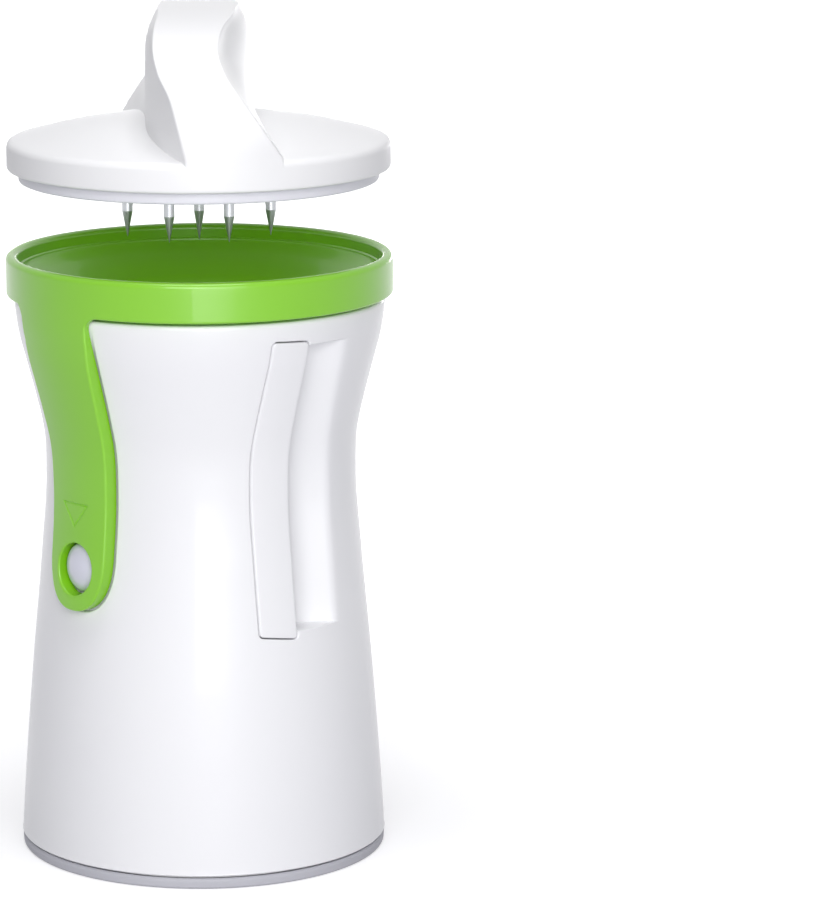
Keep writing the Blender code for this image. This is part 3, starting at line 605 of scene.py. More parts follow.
# The flank between the pocket, the exit and the two ends, which are rolled inward
patch(bm, [border, pocket_rim, exit_rim], lambda u, z: polar(u / unrolled, z, body_radius(z)),
      (2 * math.pi * unrolled / around, 1.4 * mm))
rows = [[polar(a, z, r) for a in columns[:-1]] for r, z in
        [(body_radius(shell_high), shell_high)]
        + [(body_radius(shell_high) - 0.7 * mm * (1 - math.cos(a)), shell_high + 1.0 * mm * math.sin(a))
           for a in np.radians((18, 36, 54, 72, 90))]]
strips(bm, rows)
lid(bm, rows[-1])
rows = [[polar(a, z, r) for a in columns[:-1]] for r, z in
        ((body_radius(shell_low), shell_low), (base_radius - 0.15 * mm, shell_foot + 0.45 * mm),
         (base_radius - 0.45 * mm, shell_foot + 0.12 * mm), (base_radius - 0.9 * mm, shell_foot))]
strips(bm, rows)
lid(bm, rows[-1])
shell = welded(bm, "body_shell")

# The hollow inside, which keeps a wall behind the scoop
bm = bmesh.new()
inner = [(body_radius(z) - body_wall, z) for z in np.linspace(body_top, seat, 40)]
turned(bm, [(0.0, body_top + 3 * mm), (inner[0][0], body_top + 3 * mm)] + inner + [(inner[-1][0], 0.0), (0.0, 0.0)],
       around)
cavity = welded(bm, "cavity")
bm = bmesh.new()
back_radius = scoop_radius + scoop_wall
xs = np.linspace(scoop_left - 0.15 * mm, 0.94 * back_radius - bar_near, 20)
zs = np.linspace(scoop_bottom - scoop_wall, scoop_top + scoop_wall, 40)
near = [[square_on(exit_azimuth, x, z,
                   scoop_floor(z) + scoop_radius - math.sqrt(back_radius ** 2 - (x + bar_near) ** 2))
         for x in xs] for z in zs]
far = [[square_on(exit_azimuth, x, z, 50 * mm) for x in xs] for z in zs]
strips(bm, near, closed=False)
strips(bm, far, closed=False)
for side in (0, -1):
    strip(bm, near[side], far[side], closed=False)
    strip(bm, [row[side] for row in near], [row[side] for row in far], closed=False)
backing = welded(bm, "scoop backing")
cavity = cut(cavity, [backing])
shell = cut(shell, [cavity])
finished("body_shell_skin", levelled(shell), white_abs, "base", ["body_shell"])

# ---------------------------------------------------------------- bar beside the exit
bm = bmesh.new()
bar_edge = evened(bar_outline(0.0), 0.7 * mm)


def bar_place(x, z):
    return square_on(exit_azimuth, x, z, exit_skin(x, z))


def bar_back(x, z):
    return square_on(exit_azimuth, x, z, exit_skin(x, z) - body_wall)


bar_rows = [[bar_back(x, z) for x, z in bar_edge]]
for a in np.radians((0, 22, 45, 67, 90)):
    flat = moved(bar_edge, -edge_roll * (1 - math.cos(a)))
    bar_rows.append([square_on(exit_azimuth, x, z, exit_skin(x, z) - edge_roll * (1 - math.sin(a))) for x, z in flat])
strips(bm, bar_rows)
patch(bm, [[(tuple(p), s) for p, s in zip(flat, bar_rows[-1])]], bar_place, (0.6 * mm, 0.7 * mm))
patch(bm, [[(p, s) for p, s in zip(bar_edge, bar_rows[0])]], bar_back, (1.5 * mm, 1.5 * mm))
finished("slot_bar_skin", levelled(welded(bm, "slot_bar")), white_abs, "base", ["slot_bar"])

# ---------------------------------------------------------------- foot
bm = bmesh.new()
outer = base_radius - 0.3 * mm
foot = [(outer - 0.4 * mm, 2.55 * mm), (outer, 2.0 * mm), (outer - 0.1 * mm, 0.4 * mm), (outer - 0.5 * mm, 0.0),
        (outer - 2.4 * mm, 0.0), (outer - 2.8 * mm, 0.4 * mm), (outer - 2.8 * mm, 2.0 * mm)]
turned(bm, rounded(foot, (0.3 * mm, 0.4 * mm, 0.4 * mm, 0.3 * mm, 0.3 * mm, 0.3 * mm, 0.1 * mm)), around)
finished("foot_ring_soft", welded(bm, "foot"), foot_rubber_painted_shade, "base", ["foot_ring"])

# ---------------------------------------------------------------- collar and arm
band_top = collar_top - collar_round
arm_roll = 0.5 * mm
hole_roll = 0.5 * mm
waist_to_band = 122 * mm
square_to_round = 121 * mm


def collar_outer(z):
    """The arm follows the body's waist and swells into the band near the top."""
    grown = body_radius(z) + arm_thickness + gap + max(0.0, 0.6 * (z - waist_to_band))
    return lesser(grown, collar_radius + 0.04 * mm, 1.2 * mm)


def collar_skin(u, z, radius):
    """Square-edged on the arm and round on the band, in one flow. u runs sideways from the arm's middle."""
    share = 1 - ramp(square_to_round, collar_low, z)
    angle = u / collar_radius
    if share > 0:
        angle = (1 - share) * angle + share * math.asin(u / radius)
    return polar(arm_azimuth + angle, z, radius)


def collar_place(u, z):
    return collar_skin(u, z, collar_outer(z))


def arm_inner(z):
    return body_radius(z) + gap - 0.5 * mm * pocket_share(z)


half_turn = math.pi * collar_radius
band_us = np.linspace(-half_turn, half_turn, around + 1)
left_root, right_root = arm_edge[0][0], arm_edge[-1][0]
left_band = [u for u in band_us if u < left_root - 0.4 * mm] + [left_root]
right_band = [right_root] + [u for u in band_us if u > right_root + 0.4 * mm]
between = [u for u in band_us if left_root + 0.4 * mm < u < right_root - 0.4 * mm]
ring_us = left_band + between + right_band
band_chain = [(u, collar_low) for u in left_band[:-1]] + arm_edge + [(u, collar_low) for u in right_band[1:]]
bm = bmesh.new()
rolls = [(0.0, None)] + [(arm_roll * (1 - math.cos(a)), arm_roll * (1 - math.sin(a)))
                         for a in np.radians((0, 15, 30, 45, 60, 75, 90))]
collar_rows = []
for inward, depth in rolls:
    row = []
    flat = moved(band_chain, -inward, closed=False)
    for u, z in flat:
        radius = arm_inner(z) if depth is None else collar_outer(z) - depth
        row.append(collar_skin(u, z, radius))
    collar_rows.append(row)
strips(bm, collar_rows, closed=False)
top_row = [(u, band_top) for u in ring_us]
side_zs = np.linspace(collar_low + arm_roll, band_top, 6)[1:-1]
edge_loop = [(tuple(p), s) for p, s in zip(flat, collar_rows[-1])]
edge_loop += [((half_turn, z), collar_place(half_turn, z)) for z in side_zs]
edge_loop += [(p, collar_place(*p)) for p in reversed(top_row)]
edge_loop += [((-half_turn, z), collar_place(half_turn, z)) for z in reversed(side_zs)]

# Hole for the button, with a rolled rim
hole_edge = ellipse(hole_half_width, hole_half_height, hole_height, 64)
hole_rows = [[collar_skin(u, z, arm_inner(z)) for u, z in hole_edge]]
for a in np.radians((0, 22, 45, 67, 90)):
    grown = moved(hole_edge, hole_roll * (1 - math.cos(a)))
    hole_rows.append([collar_skin(u, z, collar_outer(z) - hole_roll * (1 - math.sin(a))) for u, z in grown])
strips(bm, hole_rows)
hole_loop = [(tuple(p), s) for p, s in zip(grown, hole_rows[-1])]

# Fine engraved triangle that points at the hole
mark_top, mark_tip = 85.3 * mm, 80.2 * mm
mark = evened([(-4.2 * mm, mark_top), (-0.35 * mm, mark_tip), (3.5 * mm, mark_top)], 0.7 * mm)
mark_rows = []
for outward, depth in ((0.26 * mm, 0.0), (0.16 * mm, 0.16 * mm), (0.0, 0.22 * mm), (-0.16 * mm, 0.16 * mm),
                       (-0.26 * mm, 0.0)):
    grown = moved(mark, outward)
    mark_rows.append([(tuple(p), collar_skin(p[0], p[1], collar_outer(p[1]) - depth)) for p in grown])
for lower, upper in zip(mark_rows[:-1], mark_rows[1:]):
    strip(bm, [s for p, s in lower], [s for p, s in upper])
patch(bm, [edge_loop, hole_loop, mark_rows[0], mark_rows[-1]], collar_place, (1.4 * mm, 1.4 * mm))

# Underside of the arm
root_line = [(u, collar_low) for u in reversed(between)]
under = [(p, collar_skin(p[0], p[1], arm_inner(p[1]))) for p in arm_edge + root_line]
patch(bm, [under, [(p, s) for p, s in zip(hole_edge, hole_rows[0])]],
      lambda u, z: collar_skin(u, z, arm_inner(z)), (1.6 * mm, 1.6 * mm))

# Rest of the collar: spigot, flange seat, funnel, mouth and the rolled top
spigot_low = collar_low - 2.2 * mm
spigot_radius = body_radius(spigot_low) - body_wall - gap
seat_top = cone_top + gap + 2.5 * mm
profile = [(arm_inner(collar_low), collar_low), (spigot_radius, collar_low), (spigot_radius, spigot_low),
           (spigot_radius - 1.8 * mm, spigot_low), (flange_radius - 2.6 * mm, seat_top), (flange_radius, seat_top),
           (flange_radius, cone_top + gap), (cone_top_radius, cone_top + gap)]
funnel_shares = np.array((0.0, 0.05, 0.10, 0.22, 0.53, 0.85, 1.0))
funnel_rises = np.array((-0.04, 0.0, 0.19, 0.38, 0.62, 0.83, 1.0))
for share in (0.05, 0.06, 0.08, 0.10, 0.13, 0.17, 0.22, 0.30, 0.40, 0.53, 0.65, 0.75, 0.85, 0.92, 0.97):
    rise = np.interp(share, funnel_shares, funnel_rises)
    profile.append((cone_top_radius + share * (collar_inner - cone_top_radius),
                    cone_top + 2 * gap + rise * (mouth_low - cone_top - 2 * gap)))
profile += [(collar_inner - 0.3 * mm, mouth_low), (collar_inner, mouth_low + 0.3 * mm)]
rim_middle = 0.5 * (collar_inner + collar_radius)
rim_half = 0.5 * (collar_radius - collar_inner)
for a in np.radians(np.linspace(180, 0, 15)):
    profile.append((rim_middle + rim_half * math.cos(a), band_top + collar_round * math.sin(a) ** 0.9))
profile[-1] = (collar_outer(band_top), band_top)
strips(bm, [[polar(arm_azimuth + u / collar_radius, z, r) for u in ring_us] for r, z in profile], closed=False)
collar = welded(bm, "grip_collar")

# The funnel stands back from the scoop's rear wall
bm = bmesh.new()
notch = scoop_floor(cone_top - flange_thickness) - 1.1 * scoop_wall - gap
low = (-bar_far - 2 * scoop_wall, cone_top - 12.6 * mm)
high = (scoop_radius - bar_near + 2 * scoop_wall, scoop_top + scoop_wall + gap)
notch_ends = [[square_on(exit_azimuth, x, z, depth) for x, z in
               ((low[0], low[1]), (high[0], low[1]), (high[0], high[1]), (low[0], high[1]))]
              for depth in (notch, 60 * mm)]
for end in notch_ends:
    lid(bm, end)
strip(bm, *notch_ends)
notch_block = welded(bm, "notch")
collar = cut(collar, [notch_block])
finished("grip_collar_skin", levelled(collar), lime_abs, "base", ["grip_collar"])

# ---------------------------------------------------------------- release button
wall_out = body_radius(hole_height)
out = Vector((math.sin(arm_azimuth), -math.cos(arm_azimuth), 0))
latch = Matrix((Vector((0, 0, 1)).cross(out), Vector((0, 0, 1)), out)).transposed().to_4x4()
latch.translation = Vector((0, 0, hole_height))
button_radius = hole_half_width - gap
button_crown = 1.9 * mm
dome_low = wall_out - 0.5 * mm
flange_reach = button_radius + 1.8 * mm
flange_out = wall_out - body_wall - flange_reach ** 2 / (2 * wall_out) - gap
dome = []
for a in np.radians(np.linspace(90, 0, 16)):
    dome.append((button_radius * math.cos(a) ** 0.9,
                 dome_low + (wall_out + button_crown - dome_low) * math.sin(a) ** 0.8))
dome[0] = (0.0, dome[0][1])
peg = 0.48 * button_radius
button = dome + [(button_radius, flange_out), (flange_reach, flange_out), (flange_reach, flange_out - button_flange),
                 (peg, flange_out - button_flange), (peg, flange_out - peg_reach), (0.0, flange_out - peg_reach)]
bm = bmesh.new()
turned(bm, button, 64)
for vert in bm.verts:
    vert.co.y *= 1 + (hole_half_height / hole_half_width - 1) * ramp(wall_out - body_wall, dome_low, vert.co.z)
bm.transform(latch)
finished("release_button_dome", welded(bm, "button"), milky_san, "button", ["release_button"])

# ---------------------------------------------------------------- pusher
# The grip's left side, right side and belly at levels up its height, as shares of the cap's radius
grip_levels = np.array((0.0, 0.26, 0.47, 0.63, 0.82, 0.95, 1.0))
grip_left = np.array((-0.062, -0.106, -0.147, -0.202, -0.228, -0.214, -0.196))
grip_right = np.array((0.432, 0.313, 0.211, 0.138, 0.104, 0.147, 0.196))
grip_belly = np.array((0.269, 0.272, 0.274, 0.272, 0.262, 0.225, 0.205))
R = cap_radius
grip_floor = cap_rim - 0.1 * cap_shoulder
to_cap = Vector((0, 0, cap_bottom))


def grip_ring(turn, shrink, corner, count=16):
    """One level outline of the twisted grip, with its four corners rounded."""
    a = math.radians(turn)
    reach = (R - 0.06 * mm) * math.cos(a) ** 0.62 - shrink
    height = grip_height * math.sin(a) ** 0.95 - shrink
    t = max(0.0, height / grip_height)
    left = through(grip_levels, grip_left, t) * R + shrink
    right = through(grip_levels, grip_right, t) * R - shrink
    belly = through(grip_levels, grip_belly, t) * R - shrink

    def front(x):
        return -(reach - (R - math.sqrt(R * R - x * x)) * (1 - t))

    first, last = front(right), -front(left)
    side = []
    for k in range(2 * count):
        s = -1 + k / count
        if s < 0.25:
            u = (s + 1) / 1.25
            x = right + (belly - right) * u * u * (3 - 2 * u)
        else:
            x = belly - (belly + left) * ((s - 0.25) / 0.75) ** 2.4
        side.append((x, first + (s + 1) / 2 * (last - first)))
    end = [(-left + k / 8 * (left - right), -front(-left + k / 8 * (left - right))) for k in range(8)]
    half = side + end
    ring = half + [(-x, -y) for x, y in half]
    radii = np.zeros(len(ring))
    for k in (0, 2 * count, len(half), len(half) + 2 * count):
        radii[k] = corner
    ring = rounded(ring, radii)
    return [Vector((x, y, height + grip_floor)) + to_cap for x, y in ring]


bm = bmesh.new()
turns = list(np.linspace(0.8, 80, 46)) + [82, 84, 85.5, 86.5]
rings = [grip_ring(turn, 0.0, 0.5 * mm) for turn in turns]
foot_ring = [Vector((p.x, p.y, cap_bottom + cap_rim - 0.55 * cap_shoulder)) for p in rings[0]]
crest = [grip_ring(87.5, 0.0, 0.5 * mm)]
centre = sum(crest[0], Vector()) / len(crest[0])
for share in (0.825, 0.65):
    crest.append([centre + (p - centre) * share for p in crest[0]])
strips(bm, [foot_ring] + rings + crest)
lid(bm, foot_ring)
lid(bm, crest[-1])
grip = welded(bm, "grip", 40)
bm = bmesh.new()
hollow = [grip_ring(turn, grip_wall, 0.2 * mm, 8) for turn in (9, 15, 21, 27, 33, 39, 45, 51, 57, 63, 71, 78)]
hollow = [[Vector((p.x * 0.97, p.y * 0.9, cap_bottom + 0.8 * cap_wall)) for p in hollow[0]]] + hollow
strips(bm, hollow)
lid(bm, hollow[0])
lid(bm, hollow[-1])
grip_core = welded(bm, "grip core")

bm = bmesh.new()
crown = cap_rim + cap_dome
roof = cap_rim - 0.77 * cap_wall
rim_inside = ring_radius + 0.45 * mm
disc_table_r = np.array((0.0, 0.28, 0.55, 0.78, 0.95)) * R
disc_table_z = np.array((crown, crown - 0.08 * cap_dome, crown - 0.31 * cap_dome, crown - 0.63 * cap_dome,
                         cap_rim + 0.05 * cap_shoulder))
disc = [(r, through(disc_table_r, disc_table_z, r)) for r in np.linspace(0, 0.95 * R, 26)]
disc += [(share * R, cap_rim + rise * cap_shoulder) for share, rise in
         ((0.962, 0.015), (0.972, -0.03), (0.983, -0.11), (0.991, -0.21), (0.997, -0.36), (1.0, -0.55))]
disc += [(R, 0.8 * mm), (R - 0.1 * mm, 0.4 * mm), (R - 0.35 * mm, 0.12 * mm), (R - 0.8 * mm, 0.0),
         (rim_inside + 0.2 * mm, 0.0), (rim_inside, 0.2 * mm), (rim_inside, roof),
         (0.83 * R, cap_rim - 0.62 * cap_wall), (0.55 * R, crown - 0.31 * cap_dome - cap_wall),
         (0.0, crown - cap_wall)]
turned(bm, disc, 240, Matrix.Translation(to_cap))
disc_mesh = welded(bm, "disc")
cap = cut(disc_mesh, [grip], "UNION")

# Screw bosses under the cap, with their pilot bores
plate_radius = ring_radius - ring_wall - 1.4 * gap
plate_top = 0.7 * gap
plate_low = plate_top - plate_thickness
boss_circle = 0.81 * plate_radius
boss_radius = 3.2 * mm
boss_top = cap_rim + 0.2 * cap_dome
bosses, bores = [], []
for a in boss_angles:
    spot = Matrix.Translation(to_cap + Vector((boss_circle * math.cos(a), boss_circle * math.sin(a), 0)))
    bm = bmesh.new()
    turned(bm, [(0.0, boss_top), (boss_radius, boss_top), (boss_radius, plate_top + gap), (0.0, plate_top + gap)],
           32, spot)
    bosses.append(welded(bm, "boss"))
    bm = bmesh.new()
    turned(bm, [(0.0, roof + gap), (1.2 * mm, roof + gap), (1.2 * mm, plate_low - gap), (0.0, plate_low - gap)],
           24, spot)
    bores.append(welded(bm, "boss bore"))
cap = cut(cap, [grip_core])
cap = cut(cap, bosses, "UNION")
cap = cut(cap, bores)
finished("pusher_cap_grip", levelled(cap), satin_abs, "pusher", ["pusher_cap"])

# Guide ring
bm = bmesh.new()
ring_inner = ring_radius - ring_wall
ring_profile = [(ring_radius, roof - gap), (ring_radius, -ring_drop), (ring_inner, -ring_drop),
                (ring_inner, roof - gap)]
turned(bm, rounded(ring_profile, (0.4 * mm, 0.7 * mm, 0.5 * mm, 0.3 * mm)), around, Matrix.Translation(to_cap))
finished("guide_ring_lip", welded(bm, "guide ring"), grey_pp, "ring", ["guide_ring"])

# ---------------------------------------------------------------- inner CAD pieces, welded and edge-rounded
for name, material, body, slot, width in (
        ("cutting_cone", lime_abs, "base", "green_plastic", 0.25),
        ("latch_cup", white_abs, "base", "white_plastic", 0.2),
        ("spike_plate", white_abs, "pusher", "white_plastic", 0.25),
        ("cutting_blade", ground_steel, "base", "blade_steel", 0.06),
        ("strand_comb", ground_steel, "base", "blade_steel", 0.08)):
    bm = bmesh.new()
    bm.from_mesh(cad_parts[name].data)
    bmesh.ops.remove_doubles(bm, verts=bm.verts, dist=0.002 * mm)
    bmesh.ops.dissolve_limit(bm, angle_limit=math.radians(1.0), verts=bm.verts, edges=bm.edges)
    mesh = bpy.data.meshes.new(name)
    bm.to_mesh(mesh)
    bm.free()
    work = bpy.data.objects.new("work", mesh)
    scene.collection.objects.link(work)
    bevel = work.modifiers.new("rounded edges", "BEVEL")
    bevel.width, bevel.segments, bevel.limit_method, bevel.angle_limit = width * mm, 2, "ANGLE", math.radians(40)
    finished(name + "_finished", smoothed(plain(work), 30), material, body, [name])


# ---------------------------------------------------------------- screws, spikes and spring, by Geometry Nodes
def node_group(name, inputs):
    tree = bpy.data.node_groups.new(name, "GeometryNodeTree")
    tree.interface.new_socket("Geometry", in_out="INPUT", socket_type="NodeSocketGeometry")
    tree.interface.new_socket("Geometry", in_out="OUTPUT", socket_type="NodeSocketGeometry")
    for label, kind in inputs:
        tree.interface.new_socket(label, in_out="INPUT", socket_type=kind)
    return tree, add(tree, "NodeGroupInput"), add(tree, "NodeGroupOutput")


def set_out(tree, given, result, shape):
    """Ends a tree: the shape goes on each point, turned the way it faces, made real and given its material."""
    faces = add(tree, "GeometryNodeInputNamedAttribute", {"data_type": "FLOAT_VECTOR", "Name": "points to"})
    turn = add(tree, "FunctionNodeAlignRotationToVector", {"axis": "Z"}, {"Vector": faces.outputs[0]})
    spread = add(tree, "GeometryNodeInstanceOnPoints", {}, {"Points": given.outputs["Geometry"], "Instance": shape,
                 "Rotation": turn.outputs[0]})
    real = add(tree, "GeometryNodeRealizeInstances", {}, {"Geometry": spread.outputs[0]})
    dressed = add(tree, "GeometryNodeSetMaterial", {}, {"Geometry": real.outputs[0],
                  "Material": given.outputs["Material"]})
    tree.links.new(dressed.outputs[0], result.inputs[0])


def made(tree, base, values):
    """Runs a tree on a mesh of points, with its inputs set by identifier, and gives a plain mesh."""
    item = bpy.data.objects.new("work", base)
    scene.collection.objects.link(item)
    modifier = item.modifiers.new("nodes", "NODES")
    modifier.node_group = tree
    for socket in tree.interface.items_tree:
        if socket.in_out == "INPUT" and socket.name in values:
            modifier[socket.identifier] = values[socket.name]
    mesh = plain(item)
    mesh.validate()
    return mesh


# Pan-headed screw: shank with a raised thread, tapered head with a cross recess
screw_tree, given, result = node_group("pan-headed screws", (
    ("Shank radius", "NodeSocketFloat"), ("Shank length", "NodeSocketFloat"), ("Head radius", "NodeSocketFloat"),
    ("Head height", "NodeSocketFloat"), ("Thread pitch", "NodeSocketFloat"), ("Thread depth", "NodeSocketFloat"),
    ("Material", "NodeSocketMaterial")))
t, g = screw_tree, given.outputs
half_length = add(t, "ShaderNodeMath", {"operation": "MULTIPLY", 1: 0.5}, {0: g["Shank length"]}).outputs[0]
shank = add(t, "GeometryNodeMeshCylinder", {"Vertices": 20}, {"Radius": g["Shank radius"], "Depth": g["Shank length"]})
lift = add(t, "ShaderNodeCombineXYZ", {}, {"Z": half_length})
shank_up = add(t, "GeometryNodeTransform", {}, {"Geometry": shank.outputs["Mesh"], "Translation": lift.outputs[0]})
turn_count = add(t, "ShaderNodeMath", {"operation": "DIVIDE"}, {0: g["Shank length"], 1: g["Thread pitch"]}).outputs[0]
spiral = add(t, "GeometryNodeCurveSpiral", {"Resolution": 14}, {"Rotations": turn_count,
             "Start Radius": g["Shank radius"], "End Radius": g["Shank radius"], "Height": g["Shank length"]})
thread_wire = add(t, "GeometryNodeCurvePrimitiveCircle", {"Resolution": 5}, {"Radius": g["Thread depth"]})
thread = add(t, "GeometryNodeCurveToMesh", {"Fill Caps": True}, {"Curve": spiral.outputs[0],
             "Profile Curve": thread_wire.outputs[0]})
top_radius = add(t, "ShaderNodeMath", {"operation": "MULTIPLY", 1: 0.63}, {0: g["Head radius"]}).outputs[0]
skirt = add(t, "ShaderNodeMath", {"operation": "MULTIPLY", 1: -0.6}, {0: g["Head height"]}).outputs[0]
skirt_depth = add(t, "ShaderNodeMath", {"operation": "MULTIPLY", 1: 0.6}, {0: g["Head height"]}).outputs[0]
crown_depth = add(t, "ShaderNodeMath", {"operation": "MULTIPLY", 1: 0.4}, {0: g["Head height"]}).outputs[0]
head_low = add(t, "GeometryNodeMeshCone", {"Vertices": 28}, {"Radius Top": g["Head radius"],
               "Radius Bottom": g["Head radius"], "Depth": skirt_depth})
head_low_place = add(t, "ShaderNodeCombineXYZ", {}, {"Z": skirt})
head_low_at = add(t, "GeometryNodeTransform", {}, {"Geometry": head_low.outputs["Mesh"],
                  "Translation": head_low_place.outputs[0]})
crown_base = add(t, "ShaderNodeMath", {"operation": "MULTIPLY", 1: -1.0}, {0: g["Head height"]}).outputs[0]
head_top = add(t, "GeometryNodeMeshCone", {"Vertices": 28}, {"Radius Top": g["Head radius"],
               "Radius Bottom": top_radius, "Depth": crown_depth})
head_top_place = add(t, "ShaderNodeCombineXYZ", {}, {"Z": crown_base})
head_top_at = add(t, "GeometryNodeTransform", {}, {"Geometry": head_top.outputs["Mesh"],
                  "Translation": head_top_place.outputs[0]})
slot_long = add(t, "ShaderNodeMath", {"operation": "MULTIPLY", 1: 1.1}, {0: g["Head radius"]}).outputs[0]
slot_thin = add(t, "ShaderNodeMath", {"operation": "MULTIPLY", 1: 0.24}, {0: g["Head radius"]}).outputs[0]
size_one = add(t, "ShaderNodeCombineXYZ", {}, {"X": slot_long, "Y": slot_thin, "Z": g["Head height"]})
size_two = add(t, "ShaderNodeCombineXYZ", {}, {"X": slot_thin, "Y": slot_long, "Z": g["Head height"]})
cross = []
for size in (size_one, size_two):
    block = add(t, "GeometryNodeMeshCube", {}, {"Size": size.outputs[0]})
    cross.append(add(t, "GeometryNodeTransform", {}, {"Geometry": block.outputs["Mesh"],
                     "Translation": head_top_place.outputs[0]}).outputs[0])
head_joined = add(t, "GeometryNodeMeshBoolean", {"operation": "UNION"}, {})
for part in (head_low_at, head_top_at, shank_up):
    t.links.new(part.outputs[0], head_joined.inputs["Mesh 2"])
recessed = add(t, "GeometryNodeMeshBoolean", {"operation": "DIFFERENCE"}, {"Mesh 1": head_joined.outputs[0]})
for block in cross:
    t.links.new(block, recessed.inputs["Mesh 2"])
whole = add(t, "GeometryNodeJoinGeometry")
t.links.new(thread.outputs[0], whole.inputs[0])
t.links.new(recessed.outputs[0], whole.inputs[0])
set_out(t, given, result, whole.outputs[0])


def point_mesh(spots):
    """Points with the direction that each screw or spike points in."""
    mesh = bpy.data.meshes.new("spots")
    mesh.from_pydata([tuple(spot) for spot, way in spots], [], [])
    ways = mesh.attributes.new("points to", "FLOAT_VECTOR", "POINT")
    for i, (spot, way) in enumerate(spots):
        ways.data[i].vector = way
    return mesh


def set_in_place(name, tree, spots, body, nodes, angle=30):
    """Makes the tree's pieces with the current values, and shows them in place of the CAD nodes."""
    mesh = smoothed(made(tree, point_mesh(spots), values), angle)
    finished(name, mesh, values["Material"], body, nodes)


screw_shank = 0.65 * mm
flange_low = cone_top - flange_thickness
up = Vector((0, 0, 1))
flange_spots = [(polar(math.radians(a), flange_low - gap, flange_radius - 0.38 * flange_inset), up)
                for a in (-75, 105, 195)]
values = {"Shank radius": screw_shank * 0.94, "Shank length": seat_top - flange_low - gap,
          "Head radius": 2.9 * screw_shank, "Head height": 2.3 * screw_shank, "Thread pitch": 0.6 * mm,
          "Thread depth": 0.12 * mm, "Material": plated_steel}
set_in_place("flange_screws", screw_tree, flange_spots, "base",
             ["flange_screw_1", "flange_screw_2", "flange_screw_3"])

blade_azimuth = math.radians(14.5)
slope = math.atan2(cone_top_radius - cone_bottom_radius, cone_top - cone_bottom)
blade_z = cone_bottom + 0.48 * (cone_top - cone_bottom)
blade_length = 0.68 * (cone_top - cone_bottom) / math.cos(slope)
blade_out = Vector((math.sin(blade_azimuth), -math.cos(blade_azimuth), 0))
along = up.cross(blade_out)
upward = blade_out * math.sin(slope) + up * math.cos(slope)
normal = along.cross(upward)
origin = blade_out * (cone_inner(blade_z) + cone_wall) + up * blade_z
bed_top = 3 * gap + 0.08 * mm
blade_high = bed_top + gap + blade_thickness
blade_spots = [(origin + along * 3.6 * mm + upward * share * blade_length + normal * (blade_high + gap), -normal)
               for share in (-0.36, 0.36)]
values.update({"Shank length": blade_high + gap + 0.5 * 0.8 * cone_wall, "Head radius": 2.5 * screw_shank,
               "Head height": 1.4 * screw_shank})
set_in_place("blade_screws", screw_tree, blade_spots, "base", ["blade_screw_1", "blade_screw_2"])

plate_shank = 0.28 * boss_radius
plate_spots = [(to_cap + Vector((boss_circle * math.cos(a), boss_circle * math.sin(a), plate_low - gap)), up)
               for a in boss_angles]
values.update({"Shank radius": plate_shank * 0.94, "Shank length": roof - plate_low + gap,
               "Head radius": 0.72 * boss_radius, "Head height": 1.3 * plate_shank, "Thread pitch": 0.9 * mm,
               "Thread depth": 0.16 * mm})
set_in_place("plate_screws", screw_tree, plate_spots, "pusher",
             ["plate_screw_1", "plate_screw_2", "plate_screw_3", "plate_screw_4"])

# Headed pins under the spike plate
spike_tree, given, result = node_group("headed spikes", (
    ("Radius", "NodeSocketFloat"), ("Length", "NodeSocketFloat"), ("Point share", "NodeSocketFloat"),
    ("Head radius", "NodeSocketFloat"), ("Head height", "NodeSocketFloat"), ("Seat", "NodeSocketFloat"),
    ("Material", "NodeSocketMaterial")))
t, g = spike_tree, given.outputs
shaft_part = add(t, "ShaderNodeMath", {"operation": "SUBTRACT", 0: 1.0}, {1: g["Point share"]}).outputs[0]
shaft_out = add(t, "ShaderNodeMath", {"operation": "MULTIPLY"}, {0: g["Length"], 1: shaft_part}).outputs[0]
shaft_length = add(t, "ShaderNodeMath", {"operation": "ADD"}, {0: shaft_out, 1: g["Seat"]}).outputs[0]
point_length = add(t, "ShaderNodeMath", {"operation": "MULTIPLY"}, {0: g["Length"], 1: g["Point share"]}).outputs[0]
tip_radius = add(t, "ShaderNodeMath", {"operation": "MULTIPLY", 1: 0.06}, {0: g["Radius"]}).outputs[0]
shaft = add(t, "GeometryNodeMeshCone", {"Vertices": 28, "Side Segments": 2}, {"Radius Top": g["Radius"],
            "Radius Bottom": g["Radius"], "Depth": shaft_length})
shaft_at = add(t, "ShaderNodeMath", {"operation": "SUBTRACT", 0: 0.0}, {1: g["Seat"]}).outputs[0]
point = add(t, "GeometryNodeMeshCone", {"Vertices": 28, "Side Segments": 10}, {"Radius Top": tip_radius,
            "Radius Bottom": g["Radius"], "Depth": point_length})
head = add(t, "GeometryNodeMeshCone", {"Vertices": 28}, {"Radius Top": g["Head radius"],
           "Radius Bottom": g["Head radius"], "Depth": g["Head height"]})
head_sum = add(t, "ShaderNodeMath", {"operation": "ADD"}, {0: g["Seat"], 1: g["Head height"]}).outputs[0]
head_at = add(t, "ShaderNodeMath", {"operation": "SUBTRACT", 0: 0.0}, {1: head_sum}).outputs[0]
union = add(t, "GeometryNodeMeshBoolean", {"operation": "UNION"})
for shape, place_at in ((shaft, shaft_at), (point, shaft_out), (head, head_at)):
    height = add(t, "ShaderNodeCombineXYZ", {}, {"Z": place_at})
    put = add(t, "GeometryNodeTransform", {}, {"Geometry": shape.outputs["Mesh"], "Translation": height.outputs[0]})
    t.links.new(put.outputs[0], union.inputs["Mesh 2"])
set_out(t, given, result, union.outputs[0])

